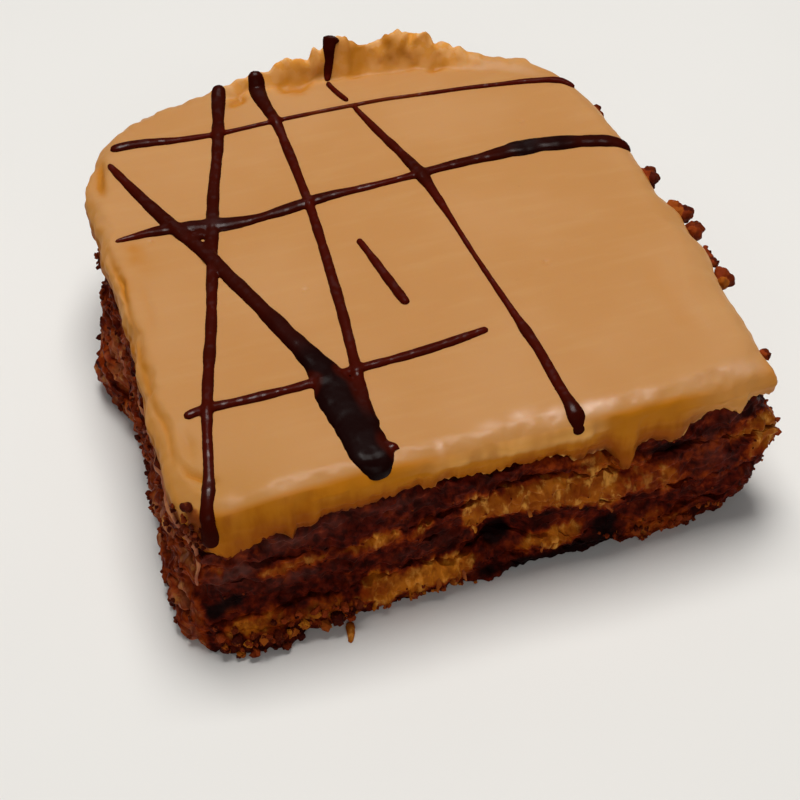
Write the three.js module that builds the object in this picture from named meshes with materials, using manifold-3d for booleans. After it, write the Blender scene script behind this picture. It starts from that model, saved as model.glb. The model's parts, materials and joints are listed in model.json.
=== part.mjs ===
// A square slice of layered chocolate-biscuit cake: three soaked biscuit layers, two cream fillings
// and a thick caramel icing with dark chocolate drizzled over it. Millimetres, +Z up. The cut face
// that shows the layers best is at -Y, and the rounded end with the pushed-up icing is at +Y.
import * as THREE from "three";
import { ParametricGeometry } from "three/addons/geometries/ParametricGeometry.js";
import { mergeVertices } from "three/addons/utils/BufferGeometryUtils.js";
import Module from "manifold-3d";

const wasm = await Module();
wasm.setup();
const { lerp, smoothstep } = THREE.MathUtils;

// Plan of the slice, seen from above: a superellipse, nearly square at the front, round at the back.
const HALF_WIDTH = 46;
const FRONT_REACH = 43;
const BACK_REACH = 53.5;
const FRONT_SQUARENESS = 14;
const BACK_SQUARENESS = { left: 4.8, right: 3.8 };
// Where the outline bulges out, or in: the angle about the centre, spread and how far.
const OUTLINE_BUMPS = [
  { angle: 1.0, spread: 0.16, out: -1.5 },
  { angle: -0.25, spread: 0.11, out: 1.7 },
  { angle: 2.1, spread: 0.2, out: -0.8 },
];

// Heights of the boundaries between the layers, from the underside up. Each one ripples a little all
// round, and swells or dips at the front face: x, spread along x and rise.
const BOUNDARIES = [
  { height: 0, ripple: 0, swells: [] },
  { height: 3.4, ripple: 0.35, swells: [[-38, 9, 1.4], [-13, 8, -2.2], [25, 8, -1.4]] },
  { height: 6.6, ripple: 0.5, swells: [[-38, 9, -0.6], [-16, 6, 0.9], [29, 11, -2.2]] },
  { height: 12.5, ripple: 0.5, swells: [[-34, 12, 1.5], [25, 9, -1.8], [41, 7, -1.4]] },
  { height: 16.6, ripple: 0.5, swells: [[-27, 11, -0.7], [8, 11, 3.8], [34, 9, 3.0]] },
  { height: 23.2, ripple: 0.5, swells: [[-44, 10, -3], [-18, 12, 1.9], [21.8, 3, -3], [38, 7, 3.9]] },
];
const RIPPLE_COUNTS = [5, 9, 16, 27];
const FRONT_FADE = { from: 0.7 * FRONT_REACH, to: 0.95 * FRONT_REACH };
const LAYER_GAP = 0.3;

// Swellings and hollows of the sides: where they sit, how wide and tall they are, how far they go out.
const SIDE_LUMPS = [
  { at: [-46, 14.5, 5], spread: 7.5, tall: 11, out: 4.6 },
  { at: [-46, -31, 4], spread: 20, tall: 12, out: 2.2 },
  { at: [-45, -43, 2], spread: 6, tall: 6, out: 0.8 },
  { at: [-34, -43, 1], spread: 10, tall: 4, out: 3.6 },
  { at: [-23, -43, 4], spread: 4, tall: 3, out: 2.4 },
  { at: [-10, -43, 3], spread: 8, tall: 4, out: 1.2 },
  { at: [2, -43, 9], spread: 3.4, tall: 4, out: -5 },
  { at: [12, -43, 0], spread: 20, tall: 4, out: 0.2 },
  { at: [44, -42, 0], spread: 9, tall: 3, out: -1.8 },
  { at: [45, -42, 8], spread: 7, tall: 4, out: 2.2 },
  { at: [46, -39, 17], spread: 7, tall: 5, out: 3.6 },
  { at: [20, -43, 14], spread: 9, tall: 4, out: 0.8 },
  { at: [46, 5, 15], spread: 12, tall: 8, out: 1.6 },
  { at: [0, 53, 8], spread: 25, tall: 9, out: 1.5 },
];

// Sides of the layers, from the plate up: bands of facets, roughness of the crumb, how far the edge
// stands back from the outline and how far the middle of the side stands out from its edges.
const BISCUIT_SIDE = { bands: 3, jitter: 0.9, inset: 0.7, belly: 0.4 };
const CREAM_SIDE = { bands: 2, jitter: 0.5, inset: 0.3, belly: 0.5 };

// Icing: its flat top, rounded edge, sagging front left corner and pushed-up ridge along the back.
const ICING_TOP = 31.2;
const ICING_WAVES = [
  { height: 0.25, x: 0.09, y: 0.05, phase: 0 },
  { height: 0.25, x: -0.06, y: 0.11, phase: 1 },
];
const EDGE_ROUND = { inset: 3.4, drop: 2.8 };
const FRONT_EDGE = { inset: 2.1, drop: 1.6 };
const CORNER_SAG = { x: -45, y: -43, spread: 11, drop: 2.6 };
// The ridge's crest: places along x with the height over the icing's top.
const RIDGE_CREST = [
  [-22, 0], [-18.5, 1.5], [-13, 3.1], [-9, 2.6], [-2, 4.4], [2.5, 7.4], [5.4, 6.7], [8.4, 4.6],
  [13, 7.2], [19.4, 5.8], [21.8, 3], [25, 3], [28, 1.8], [36, 1.2], [43, 0],
];
const RIDGE_ACROSS = { foot: 0.9, crest: 0.975, backDrop: 0.35 };
const RIDGE_CREASE = { at: 0.89, spread: 0.025, depth: 0.08 };
const ICING_SIDE = [
  { share: 0, out: -0.6, jitter: 0.5 },
  { share: 0.3, out: 0.3, jitter: 0.35 },
  { share: 0.7, out: 0.4, jitter: 0.25 },
];
const ICING_SEED = 5;

// Rings of the faces across the slice, as shares of the outline: the icing's top from its edge in, and
// where a hidden face leaves its flat middle.
const TOP_SHARES = [0.985, 0.965, 0.93, 0.89, 0.6];
const RIM_SHARE = 0.9;

// Crumbs that cling to the icing on the right side: place along the side, height, radius and how far
// the middle stands out. Each is an oval lump.
const EDGE_CRUMBS = [
  { y: 30.5, z: 27.6, radius: 1.5, out: 0 },
  { y: 9.5, z: 27.4, radius: 2, out: 0.2 },
  { y: 1, z: 27.6, radius: 1.9, out: 2 },
  { y: -3, z: 27, radius: 2, out: 2 },
  { y: -15.5, z: 26.6, radius: 2.3, out: 1.6 },
  { y: -35.5, z: 27.6, radius: 1.3, out: 0.2 },
];
const CRUMB_OVAL = [1, 1.2, 0.8];

// Drizzle: each stroke runs through points x, y with its width there. A stroke that goes over the edge
// runs on down the side by its drop.
const DRIZZLE = [
  {
    points: [[-40, 41.4, 2.2], [-33, 41, 2], [-27, 39.8, 1.2], [9, 41, 1.1], [36, 37.8, 1.3],
      [42, 33.6, 1.3]],
  },
  {
    points: [[-43, 18, 1.5], [-36, 18.5, 2], [-28, 16.8, 3.2], [-10, 17.8, 2.2], [0, 18, 1.8],
      [20, 19, 2.5], [28, 19.8, 4.2], [38, 19.2, 4.4], [45.2, 15.6, 3.4]],
    drop: 1.2,
  },
  { points: [[-42, -25.5, 1.4], [-36, -24.3, 1.8], [-14, -23, 1.9], [8, -20.3, 1.7]] },
  {
    points: [[-18.2, 51.5, 1.9], [-23, 34, 1.9], [-27, 18, 1.8], [-31, -1, 1.7], [-36, -18, 1.8],
      [-41, -42, 2.2]],
    drop: 6.2,
  },
  { points: [[-10.8, 52.4, 3], [-11.6, 46, 2.6], [-10.6, 36, 1.9], [-12.6, 0, 1.7], [-15.3, -27, 1.9]] },
  {
    points: [[3.6, 52.6, 2], [1.2, 48, 1.2], [5, 34, 1.5], [8.2, 19.5, 2.4], [10.6, -4, 1.2],
      [12.4, -22, 1.9], [12.7, -42.4, 1.8]],
    drop: 1.6,
  },
  {
    points: [[-41, 37.6, 1.4], [-38, 31, 2.6], [-28, 4, 2.5], [-23, -10, 2.7], [-18.4, -24, 5],
      [-17.5, -38, 6.4], [-16.6, -42.6, 4.6]],
    drop: 3,
  },
  { points: [[-6.2, 6, 1.2], [-4.5, -3, 1.6], [-2.8, -12, 2]] },
];
const DRIZZLE_RISE = { least: 0.6, perWidth: 0.25, most: 1.25 };
const DRIZZLE_TIP = { width: 0.45, length: 0.4 };
const DRIP = { stand: 0.5, shoulder: 0.7, narrowing: 0.8 };

// Fineness of the solids: facets round the slice, and steps and sides of the drizzle.
const ROUND_STEPS = 108;
const ANGLE_SAMPLES = 40 * ROUND_STEPS;
const DRIZZLE_STEP = 6;
const DRIZZLE_SIDES = 6;
const MERGE = 1e-4;

// A repeatable stream of numbers from 0 to 1.
function seeded(seed) {
  let state = seed;
  return () => {
    state = (state + 0x6d2b79f5) | 0;
    let mixed = Math.imul(state ^ (state >>> 15), 1 | state);
    mixed = (mixed + Math.imul(mixed ^ (mixed >>> 7), 61 | mixed)) ^ mixed;
    return ((mixed ^ (mixed >>> 14)) >>> 0) / 2 ** 32;
  };
}

function total(list, value) {
  return list.reduce((sum, item) => sum + value(item), 0);
}

// 1 at the centre, fading to 0 beyond the spread.
function bell(value, centre, spread) {
  return Math.exp(-(((value - centre) / spread) ** 2));
}

// A smooth wave round the slice, a sum of a few sines with seeded phases, about -1 to 1.
function rippleRound(seed) {
  const draw = seeded(seed);
  const waves = RIPPLE_COUNTS.map((count) => ({ count, phase: draw() * 2 * Math.PI }));
  const wave = (angle) => total(waves, ({ count, phase }) => Math.sin(count * angle + phase));
  return (angle) => wave(angle) / Math.sqrt(waves.length);
}

// Distance from the centre to the outline of the slice.
function outlineRadius(angle) {
  const across = Math.abs(Math.cos(angle)) / HALF_WIDTH;
  const atBack = Math.sin(angle) > 0;
  const along = Math.abs(Math.sin(angle)) / (atBack ? BACK_REACH : FRONT_REACH);
  const backPower = Math.cos(angle) < 0 ? BACK_SQUARENESS.left : BACK_SQUARENESS.right;
  const power = atBack ? backPower : FRONT_SQUARENESS;
  const bumps = total(OUTLINE_BUMPS, (bump) => {
    const apart = angle - bump.angle;
    return bump.out * bell(Math.atan2(Math.sin(apart), Math.cos(apart)), 0, bump.spread);
  });
  return (across ** power + along ** power) ** (-1 / power) + bumps;
}

function outlinePoint(angle) {
  const radius = outlineRadius(angle);
  return new THREE.Vector2(radius * Math.cos(angle), radius * Math.sin(angle));
}

// Angles that divide the outline into steps of one length.
function evenAngles() {
  const sampleAngle = (i) => -Math.PI + (2 * Math.PI * i) / ANGLE_SAMPLES;
  const lengths = [0];
  for (let i = 1; i <= ANGLE_SAMPLES; i++) {
    const step = outlinePoint(sampleAngle(i)).distanceTo(outlinePoint(sampleAngle(i - 1)));
    lengths.push(lengths[i - 1] + step);
  }
  const round = lengths[ANGLE_SAMPLES];
  return Array.from({ length: ROUND_STEPS }, (_, k) => {
    const reached = lengths.findIndex((length) => length >= (round * k) / ROUND_STEPS);
    return sampleAngle(reached);
  });
}

const ANGLES = evenAngles();

// Height of a boundary at the side of the slice. Inwards of the rim it runs straight to its mean.
const boundaryRipples = BOUNDARIES.map((_, index) => rippleRound(11 + index));
function boundaryHeight(index, angle) {
  const { height, ripple, swells } = BOUNDARIES[index];
  const { x, y } = outlinePoint(angle);
  const atFront = smoothstep(-y, FRONT_FADE.from, FRONT_FADE.to);
  const swell = total(swells, ([centre, spread, rise]) => rise * bell(x, centre, spread));
  return height + ripple * boundaryRipples[index](angle) + atFront * swell;
}

// How far the side stands out from the plain outline at an angle and a height.
function sideSwell(angle, z) {
  const { x, y } = outlinePoint(angle);
  return total(SIDE_LUMPS, ({ at, spread, tall, out }) => {
    const away = Math.hypot(x - at[0], y - at[1]);
    return out * bell(away, 0, spread) * bell(z, at[2], tall);
  });
}

// Height of the icing's top, from its place on the slice.
function icingTop(x, y) {
  const radius = outlineRadius(Math.atan2(y, x));
  const share = Math.min(Math.hypot(x, y) / radius, 1);
  const atFront = smoothstep(-y, FRONT_FADE.from, FRONT_FADE.to);
  const reach = lerp(EDGE_ROUND.inset, FRONT_EDGE.inset, atFront);
  const drop = lerp(EDGE_ROUND.drop, FRONT_EDGE.drop, atFront);
  const inset = Math.min((1 - share) * radius, reach);
  const edge = drop * (1 - Math.sqrt(1 - (1 - inset / reach) ** 2));
  const wave = total(ICING_WAVES, (w) => w.height * Math.sin(w.x * x + w.y * y + w.phase));
  const fromCorner = Math.hypot(x - CORNER_SAG.x, y - CORNER_SAG.y);
  const sag = CORNER_SAG.drop * bell(fromCorner, 0, CORNER_SAG.spread);
  return ICING_TOP + wave - edge - sag + ridgeHeight(x, y, share);
}

// Height of the ridge's crest at a place along x, smooth from one peak or dip to the next.
function crestHeight(x) {
  const after = RIDGE_CREST.findIndex(([place]) => place > x);
  if (after < 1) return 0;
  const [from, low] = RIDGE_CREST[after - 1];
  const [to, high] = RIDGE_CREST[after];
  return lerp(low, high, smoothstep(x, from, to));
}

// The ridge along the back: it climbs from its crease to a lumpy crest, just inside the edge.
function ridgeHeight(x, y, share) {
  if (y < 0) return 0;
  const climb = smoothstep(share, RIDGE_ACROSS.foot, RIDGE_ACROSS.crest);
  const fall = 1 - RIDGE_ACROSS.backDrop * smoothstep(share, RIDGE_ACROSS.crest, 1);
  const crease = RIDGE_CREASE.depth * bell(share, RIDGE_CREASE.at, RIDGE_CREASE.spread);
  return crestHeight(x) * (climb * fall - crease);
}

// A body lathed about the centre. stations lists, from the centre of the underside out, up the side and
// back to the centre of the top, functions that give the radius and the height at one of the angles.
function lathed(stations) {
  const last = stations.length - 1;
  const surface = (u, v, target) => {
    const step = Math.round(u * ROUND_STEPS) % ROUND_STEPS;
    const { radius, z } = stations[Math.round(v * last)](ANGLES[step], step);
    target.set(radius * Math.cos(ANGLES[step]), radius * Math.sin(ANGLES[step]), z);
  };
  return new ParametricGeometry(surface, ROUND_STEPS, last);
}

// A roughness drawn for each of the angles.
function roughRing(draw, size) {
  return ANGLES.map(() => size * (2 * draw() - 1));
}

// Stations of one layer between two boundaries, with a ragged side of a few bands.
function layerStations(index, { bands, jitter, inset, belly }, seed) {
  const draw = seeded(seed);
  const lift = index === 0 ? 0 : LAYER_GAP / 2;
  const low = (angle) => boundaryHeight(index, angle) + lift;
  const high = (angle) => boundaryHeight(index + 1, angle) - LAYER_GAP / 2;
  const rim = (height) => (angle) => ({ radius: RIM_SHARE * outlineRadius(angle), z: height(angle) });
  const side = (share) => {
    const rough = roughRing(draw, jitter);
    const bulge = belly * Math.sin(Math.PI * share) - inset;
    return (angle, step) => {
      const z = lerp(low(angle), high(angle), share);
      return { radius: outlineRadius(angle) + sideSwell(angle, z) + rough[step] + bulge, z };
    };
  };
  const shares = Array.from({ length: bands + 1 }, (_, i) => i / bands);
  return [
    () => ({ radius: 0, z: BOUNDARIES[index].height + lift }),
    rim(low),
    ...shares.map(side),
    rim(high),
    () => ({ radius: 0, z: BOUNDARIES[index + 1].height - LAYER_GAP / 2 }),
  ];
}

// Stations of the icing: its underside, its side, which hangs a little proud, and its rounded top.
function icingStations() {
  const draw = seeded(ICING_SEED);
  const bottom = BOUNDARIES.length - 1;
  const low = (angle) => boundaryHeight(bottom, angle) + LAYER_GAP / 2;
  const top = (share) => (angle) => {
    const { x, y } = outlinePoint(angle).multiplyScalar(share);
    return { radius: share * outlineRadius(angle), z: icingTop(x, y) };
  };
  const side = ({ share, out, jitter }) => {
    const rough = roughRing(draw, jitter);
    return (angle, step) => ({
      radius: outlineRadius(angle) + out + rough[step],
      z: lerp(low(angle), top(1)(angle).z, share),
    });
  };
  return [
    () => ({ radius: 0, z: BOUNDARIES[bottom].height + LAYER_GAP / 2 }),
    (angle) => ({ radius: RIM_SHARE * outlineRadius(angle), z: low(angle) }),
    ...ICING_SIDE.map(side),
    top(1),
    ...TOP_SHARES.map(top),
    () => ({ radius: 0, z: icingTop(0, 0) }),
  ];
}

// The way a stroke takes over the icing: a list of places on the surface, with the width there.
function strokeWay({ points, drop }) {
  const corners = points.map((point) => new THREE.Vector3(...point));
  const plan = new THREE.CatmullRomCurve3(corners, false, "centripetal");
  const count = Math.round(plan.getLength() / DRIZZLE_STEP);
  const way = plan.getSpacedPoints(count).map(({ x, y, z: width }) => ({
    place: new THREE.Vector3(x, y, icingTop(x, y)),
    width,
  }));
  if (!drop) return way;
  const { place, width } = way.at(-1);
  const overFront = place.y < -0.9 * FRONT_REACH;
  const stand = overFront ? [0, -DRIP.stand] : [DRIP.stand, 0];
  const shoulder = place.clone().add(new THREE.Vector3(...stand, -DRIP.shoulder));
  const end = shoulder.clone().setZ(shoulder.z - drop);
  return [...way, { place: shoulder, width }, { place: end, width: DRIP.narrowing * width }];
}

// Rings along a way: the place, the direction to the side and the direction out of the icing. Where the
// way runs down the side, it keeps the sideways direction that it had on the top.
function strokeRings(way) {
  const last = way.length - 1;
  let side = new THREE.Vector3();
  const rings = way.map(({ place, width }, i) => {
    const ahead = way[Math.min(i + 1, last)].place;
    const behind = way[Math.max(i - 1, 0)].place;
    const tangent = ahead.clone().sub(behind).normalize();
    const level = Math.hypot(tangent.x, tangent.y);
    if (level > 0.4) side = new THREE.Vector3(tangent.y, -tangent.x, 0).normalize();
    return { place, width, tangent, side, up: side.clone().cross(tangent) };
  });
  const tip = (ring, direction) => ({
    ...ring,
    place: ring.place.clone().addScaledVector(ring.tangent, direction * DRIZZLE_TIP.length * ring.width),
    width: DRIZZLE_TIP.width * ring.width,
  });
  return [tip(rings[0], -1), ...rings, tip(rings[last], 1)];
}

// A stroke as a tube of flat elliptical section along its way, half sunk in the icing.
function strokeGeometry(stroke) {
  const rings = strokeRings(strokeWay(stroke));
  const stack = rings.length + 1;
  const surface = (u, v, target) => {
    const level = Math.round(v * stack);
    const open = level > 0 && level < stack;
    const { place, side, up, width } = rings[THREE.MathUtils.clamp(level - 1, 0, rings.length - 1)];
    const rise = Math.min(DRIZZLE_RISE.most, DRIZZLE_RISE.least + DRIZZLE_RISE.perWidth * width);
    const turn = 2 * Math.PI * u;
    target.copy(place);
    if (!open) return;
    target.addScaledVector(side, (width / 2) * Math.cos(turn));
    target.addScaledVector(up, rise * Math.sin(turn));
  };
  return new ParametricGeometry(surface, DRIZZLE_SIDES, stack);
}

function crumbGeometry({ y, z, radius, out }) {
  const edge = outlinePoint(Math.atan2(y, HALF_WIDTH));
  const crumb = new THREE.IcosahedronGeometry(radius, 1);
  crumb.scale(...CRUMB_OVAL);
  crumb.rotateZ(y);
  crumb.translate(edge.x + out, edge.y, z);
  return crumb;
}

// A geometry as a solid, with its shared corners merged, its collapsed faces dropped and its faces
// turned outwards.
function solidOf(geometry) {
  const bare = geometry.clone();
  bare.deleteAttribute("normal");
  bare.deleteAttribute("uv");
  const merged = mergeVertices(bare, MERGE);
  const corners = [];
  for (let i = 0; i < merged.index.count; i += 3) {
    const [a, b, c] = merged.index.array.subarray(i, i + 3);
    if (a !== b && b !== c && c !== a) corners.push([a, b, c]);
  }
  const vertProperties = new Float32Array(merged.attributes.position.array);
  const made = (faces) => {
    const triVerts = new Uint32Array(faces.flat());
    return new wasm.Manifold(new wasm.Mesh({ numProp: 3, vertProperties, triVerts }));
  };
  const solid = made(corners);
  return solid.volume() > 0 ? solid : made(corners.map(([a, b, c]) => [a, c, b]));
}

function geometryOf(solid) {
  const { vertProperties, triVerts } = solid.getMesh();
  const geometry = new THREE.BufferGeometry();
  geometry.setAttribute("position", new THREE.BufferAttribute(vertProperties, 3));
  geometry.setIndex(new THREE.BufferAttribute(triVerts, 1));
  geometry.computeVertexNormals();
  return geometry;
}

// Icing with its drizzle and crumbs fused on. A hollow that they seal is filled.
function icedTop() {
  let icing = solidOf(lathed(icingStations()));
  for (const stroke of DRIZZLE) icing = icing.add(solidOf(strokeGeometry(stroke)));
  for (const crumb of EDGE_CRUMBS) icing = icing.add(solidOf(crumbGeometry(crumb)));
  const [outerShell] = icing.decompose().sort((a, b) => b.volume() - a.volume());
  return outerShell;
}

function named(name, solid, color, roughness) {
  const material = new THREE.MeshStandardMaterial({ color, roughness, metalness: 0 });
  const mesh = new THREE.Mesh(geometryOf(solid), material);
  mesh.name = name;
  return mesh;
}

function biscuit(name, index, seed) {
  return named(name, solidOf(lathed(layerStations(index, BISCUIT_SIDE, seed))), "#3a1a10", 0.9);
}

function cream(name, index, seed) {
  return named(name, solidOf(lathed(layerStations(index, CREAM_SIDE, seed))), "#a8743c", 0.6);
}

const slice = new THREE.Group();
slice.add(
  biscuit("biscuit_bottom", 0, 21),
  cream("cream_lower", 1, 22),
  biscuit("biscuit_middle", 2, 23),
  cream("cream_upper", 3, 24),
  biscuit("biscuit_top", 4, 25),
  named("caramel_icing", icedTop(), "#c9955a", 0.45),
);

// The middle of the slice's box stands over the origin.
const middle = new THREE.Box3().setFromObject(slice).getCenter(new THREE.Vector3());
slice.children.forEach((mesh) => mesh.position.set(-middle.x, -middle.y, 0));

export default slice;
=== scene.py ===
"""A square slice of layer cake: soaked chocolate biscuit, cream, caramel icing, drizzle and crumbs."""
import json
import math
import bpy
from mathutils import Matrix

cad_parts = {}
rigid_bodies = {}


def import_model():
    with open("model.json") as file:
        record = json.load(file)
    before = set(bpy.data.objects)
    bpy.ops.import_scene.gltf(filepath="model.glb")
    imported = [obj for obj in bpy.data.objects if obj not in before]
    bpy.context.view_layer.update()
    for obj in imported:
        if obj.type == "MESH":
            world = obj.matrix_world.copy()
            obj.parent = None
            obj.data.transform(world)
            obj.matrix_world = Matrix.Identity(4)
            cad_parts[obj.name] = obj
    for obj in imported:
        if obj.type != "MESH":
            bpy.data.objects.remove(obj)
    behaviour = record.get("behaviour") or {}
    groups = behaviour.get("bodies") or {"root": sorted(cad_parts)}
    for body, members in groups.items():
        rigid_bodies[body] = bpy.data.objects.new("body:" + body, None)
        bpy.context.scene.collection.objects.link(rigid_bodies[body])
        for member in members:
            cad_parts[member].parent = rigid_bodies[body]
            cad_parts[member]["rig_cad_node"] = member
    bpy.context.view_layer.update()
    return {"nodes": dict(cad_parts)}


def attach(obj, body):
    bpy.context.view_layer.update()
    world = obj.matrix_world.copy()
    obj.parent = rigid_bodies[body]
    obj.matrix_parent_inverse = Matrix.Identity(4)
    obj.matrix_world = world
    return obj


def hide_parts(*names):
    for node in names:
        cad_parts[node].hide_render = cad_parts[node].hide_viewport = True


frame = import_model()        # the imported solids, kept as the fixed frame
from types import SimpleNamespace

import bpy
import numpy as np
from mathutils import Matrix, Vector, kdtree, noise
from mathutils.bvhtree import BVHTree

MM = 0.001

# Camera: where it aims on the slice in millimetres, from how far and at which angles, in degrees.
CAMERA_AIM = (-5.371, -14.623, 13.5)
CAMERA_DISTANCE = 276.88
CAMERA_AZIMUTH = -16.35
CAMERA_ELEVATION = 45.96
CAMERA_ROLL = -1.09
CAMERA_LENS = 77.07
CAMERA_SENSOR = 36
# Floor and lights, in metres: the name, place, size, watts and tint of each light.
FLOOR_SIZE = 3
FLOOR_GAP = 0.0001
LIGHT_AIM = (0, 0, 0.02)
LIGHTS = (
    ("overhead", (0.02, 0.1, 0.6), (0.3, 0.3), 3.5, (1.0, 0.98, 0.95)),
    ("behind", (0.1, 0.62, 0.5), (0.7, 0.4), 0.25, (0.95, 0.97, 1.0)),
    ("front", (-0.12, -0.6, 0.3), (0.5, 0.4), 0.9, (1.0, 0.98, 0.95)),
)
ROOM_LIGHT = 0.12
# How far red, green and blue light goes in under a soft surface, as shares.
SOFT_RADIUS = (1.0, 0.45, 0.12)

# Plan of the slice in millimetres, about its own centre: nearly square at the front, round at the back.
PLAN_CENTRE = (-0.0113, -4.4838)
HALF_WIDTH = 46
FRONT_REACH = 43
BACK_REACH = 53.5
FRONT_SQUARENESS = 14
BACK_SQUARENESS = {"left": 4.8, "right": 3.8}
# Where the outline bulges out, or in: the angle about the centre, spread and how far.
OUTLINE_BUMPS = ((1, 0.16, -1.5), (-0.25, 0.11, 1.7), (2.1, 0.2, -0.8))

# Icing: flat top, rounded edge, sagging front left corner and the ridge pushed up along the back.
ICING_TOP = 31.2
ICING_WAVES = ((0.25, 0.09, 0.05, 0.0), (0.25, -0.06, 0.11, 1.0))
EDGE_ROUND = {"inset": 3.4, "drop": 2.8}
FRONT_EDGE = {"inset": 3.6, "drop": 2.2}
RIGHT_EDGE = {"y": -20, "spread": 16, "wider": 1.2}
# The front edge is worn off more towards the right corner.
WORN_EDGE = {"x": 39, "spread": 6, "wider": 2.4, "lower": 1.7}
# Sag of the front left corner: x, y, reach, drop.
CORNER_SAG = (-45, -43, 11, 2.6)
# The ridge's crest: places along x with the height over the icing's top.
RIDGE_CREST = (
    (-22, 0), (-20.4, 0.3), (-18.8, 1.5), (-17, 2), (-13, 3.1), (-9, 2.6), (-7, 3.5), (-2, 4.4),
    (-0.6, 6), (0.4, 5.9), (2.5, 7.4), (5.4, 6.7), (6.3, 5.2), (9, 4.6), (11.4, 5.6), (13, 7.2),
    (15, 6.3), (18, 5.4), (19.4, 5.8), (20.6, 4.2), (21.8, 3), (25, 3), (27, 2), (31.5, 1.2), (36, 1.2),
    (40, 0.6), (43, 0),
)
RIDGE_ACROSS = {"left_foot": 0.93, "foot": 0.905, "crest": 0.978, "back_drop": 0.35}
ICING_SIDE_OUT = ((0.0, -0.5), (0.25, 0.1), (0.7, 0.3), (1.0, 0.0))
# Creases and raised folds in the top: places along each with the depth there, and how wide it is.
ICING_CREASES = (
    (((-42, 41, 0), (-42.6, 37.3, 1.1), (-43.2, 33, 1.1), (-43.4, 28, 0)), 0.8),
    (((-41.8, 20, 0), (-41.3, 15.3, 0.28), (-40.2, 10, 0.28), (-39.8, 5, 0)), 2.4),
    (((-45, 20, 0), (-44.9, 12, 0.6), (-44.4, 8, 0.8), (-44.5, 3, 0.6), (-44.9, -4, 0.3),
      (-44.8, -10, 0)), 0.55),
    (((-42.2, 9, 0), (-41.8, 4, 0.25), (-41.7, -2, 0.25), (-42.6, -8, 0)), 0.9),
    (((-44.4, -4, 0), (-45, -10, 0.6), (-45, -16, 0.7), (-44.8, -22, 0.4), (-44.2, -27, 0)), 0.6),
    (((-45, -20, 0), (-44.2, -25, 0.5), (-44.3, -30, 0.5), (-45, -34, 0)), 0.55),
    (((-42.6, -26, 0), (-41.8, -30, 0.3), (-42.4, -34, 0)), 1),
    (((-44.4, -31, 0), (-42.9, -34.4, 0.6), (-40.6, -36.6, 0.6), (-38.6, -37.4, 0)), 0.55),
    (((-43.4, -37.5, 0), (-42.2, -38.4, -0.5), (-41.4, -39.8, 0)), 0.8),
    (((-19, 46.6, 0), (-17, 47.4, 0.6), (-15.4, 48, 0.7), (-13.6, 48.6, 0)), 1.1),
    (((-9.4, 48.2, 0), (-7, 48.6, 0.6), (-4.5, 48.8, 0.7), (-1.4, 48.4, 0)), 1.2),
    (((-6.6, 46.6, 0), (-4.6, 47.6, 0.3), (-2.4, 48.4, 0)), 0.8),
    (((4.6, 49.4, 0), (6.2, 50.4, 0.8), (7.8, 51.2, 1), (8.4, 52.6, 0)), 1.5),
    (((11.4, 49.2, 0), (12.6, 50.6, 0.6), (12.6, 51.8, 0.9), (12.2, 53.4, 0.2)), 0.9),
    (((13.8, 49.2, 0), (15.4, 50.4, 0.5), (17.2, 51.4, 0.5), (19, 52.2, 0)), 0.6),
    (((15, 48, 0), (17.4, 49, 0.4), (19.6, 49.8, 0.5), (21.4, 50.6, 0)), 0.6),
    (((18.4, 46.4, 0), (20.6, 47.4, 0.5), (23, 48, 0.5), (25, 48.4, 0)), 0.9),
    (((44.4, -4, 0), (42.6, -12, -0.35), (39.6, -22, -0.4), (40.2, -34, 0)), 2),
    (((38.4, -6, 0), (36, -18, 0.25), (36.4, -28, 0.25), (38, -36, 0)), 2.4),
)
# Painted amber shade in hollows of the ridge and left edge: x, y, reach along x, reach along y, strength.
AMBER_SHADE_PLACES = (
    (-16, 48.6, 2.6, 1.5, 0.8), (-5.6, 50, 3.2, 1.4, 0.9), (-5, 46.6, 2, 0.9, 0.5),
    (7.4, 53, 2, 1.2, 0.9), (13.8, 53.4, 1.5, 1.2, 0.7), (15, 50.4, 2.2, 0.8, 0.7),
    (20.4, 51.8, 1.5, 1.6, 0.8), (-41.4, 14.5, 1.8, 4, 0.35), (-44, 7.5, 0.9, 4, 0.5),
    (-44.2, -12, 0.9, 5, 0.4),
)
# Small pits in the top: x, y, reach, depth.
ICING_PITS = tuple((x, y, 0.45, 0.3) for x, y in ((-17.3, -3.5), (-38.2, 16), (21, -9), (30, 27)))
# Bulges of the icing's side: x, y, spread, how far out.
ICING_BULGES = (
    (-44.6, 33, 5, 1.6), (-45, 8, 6, -0.5), (-45, -5, 6, -0.9), (44.6, -40.6, 2, 2.3),
    (46, -2, 3.6, 1.3),
)
# Lower edge of the icing along the front: x and height.
HEM_LINE = (
    (-46, 19), (-42, 19.2), (-40, 19.4), (-37, 20.8), (-34, 22), (-31.6, 22.8), (-30.5, 21.9),
    (-29.6, 23.2), (-28, 23.2), (-26.4, 23.8), (-25.4, 24.6), (-20, 24.6), (-15, 25), (-11, 25.6),
    (-9, 24.4), (-8, 25.4), (-5, 26.4), (-3, 26), (0, 24.3), (2, 25), (4, 25.2), (5.6, 24.1), (7, 24.3),
    (9, 24.7), (11, 25.2), (12.4, 23.6), (14, 22.8), (16, 23.2), (18, 23.6), (19, 23.2), (19.8, 20.6),
    (21, 19.4), (22, 18.7), (23, 20.4), (23.5, 22.6), (25, 23.2), (29, 23), (30, 23.4), (31, 24.2),
    (33, 25.4), (35, 26), (37, 26.4), (39, 25.6), (40, 24.4), (41, 26), (42.4, 27.4), (46, 28),
)
# How far the hem lies behind the front plane, and how far a long tongue of it stands out again.
HEM_BACK = 0.6
HEM_HANG = 1.2
# How far below and above the solid's lower edge the hem may lie.
HEM_RANGE = {"down": 4.2, "up": 0.8}
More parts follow.
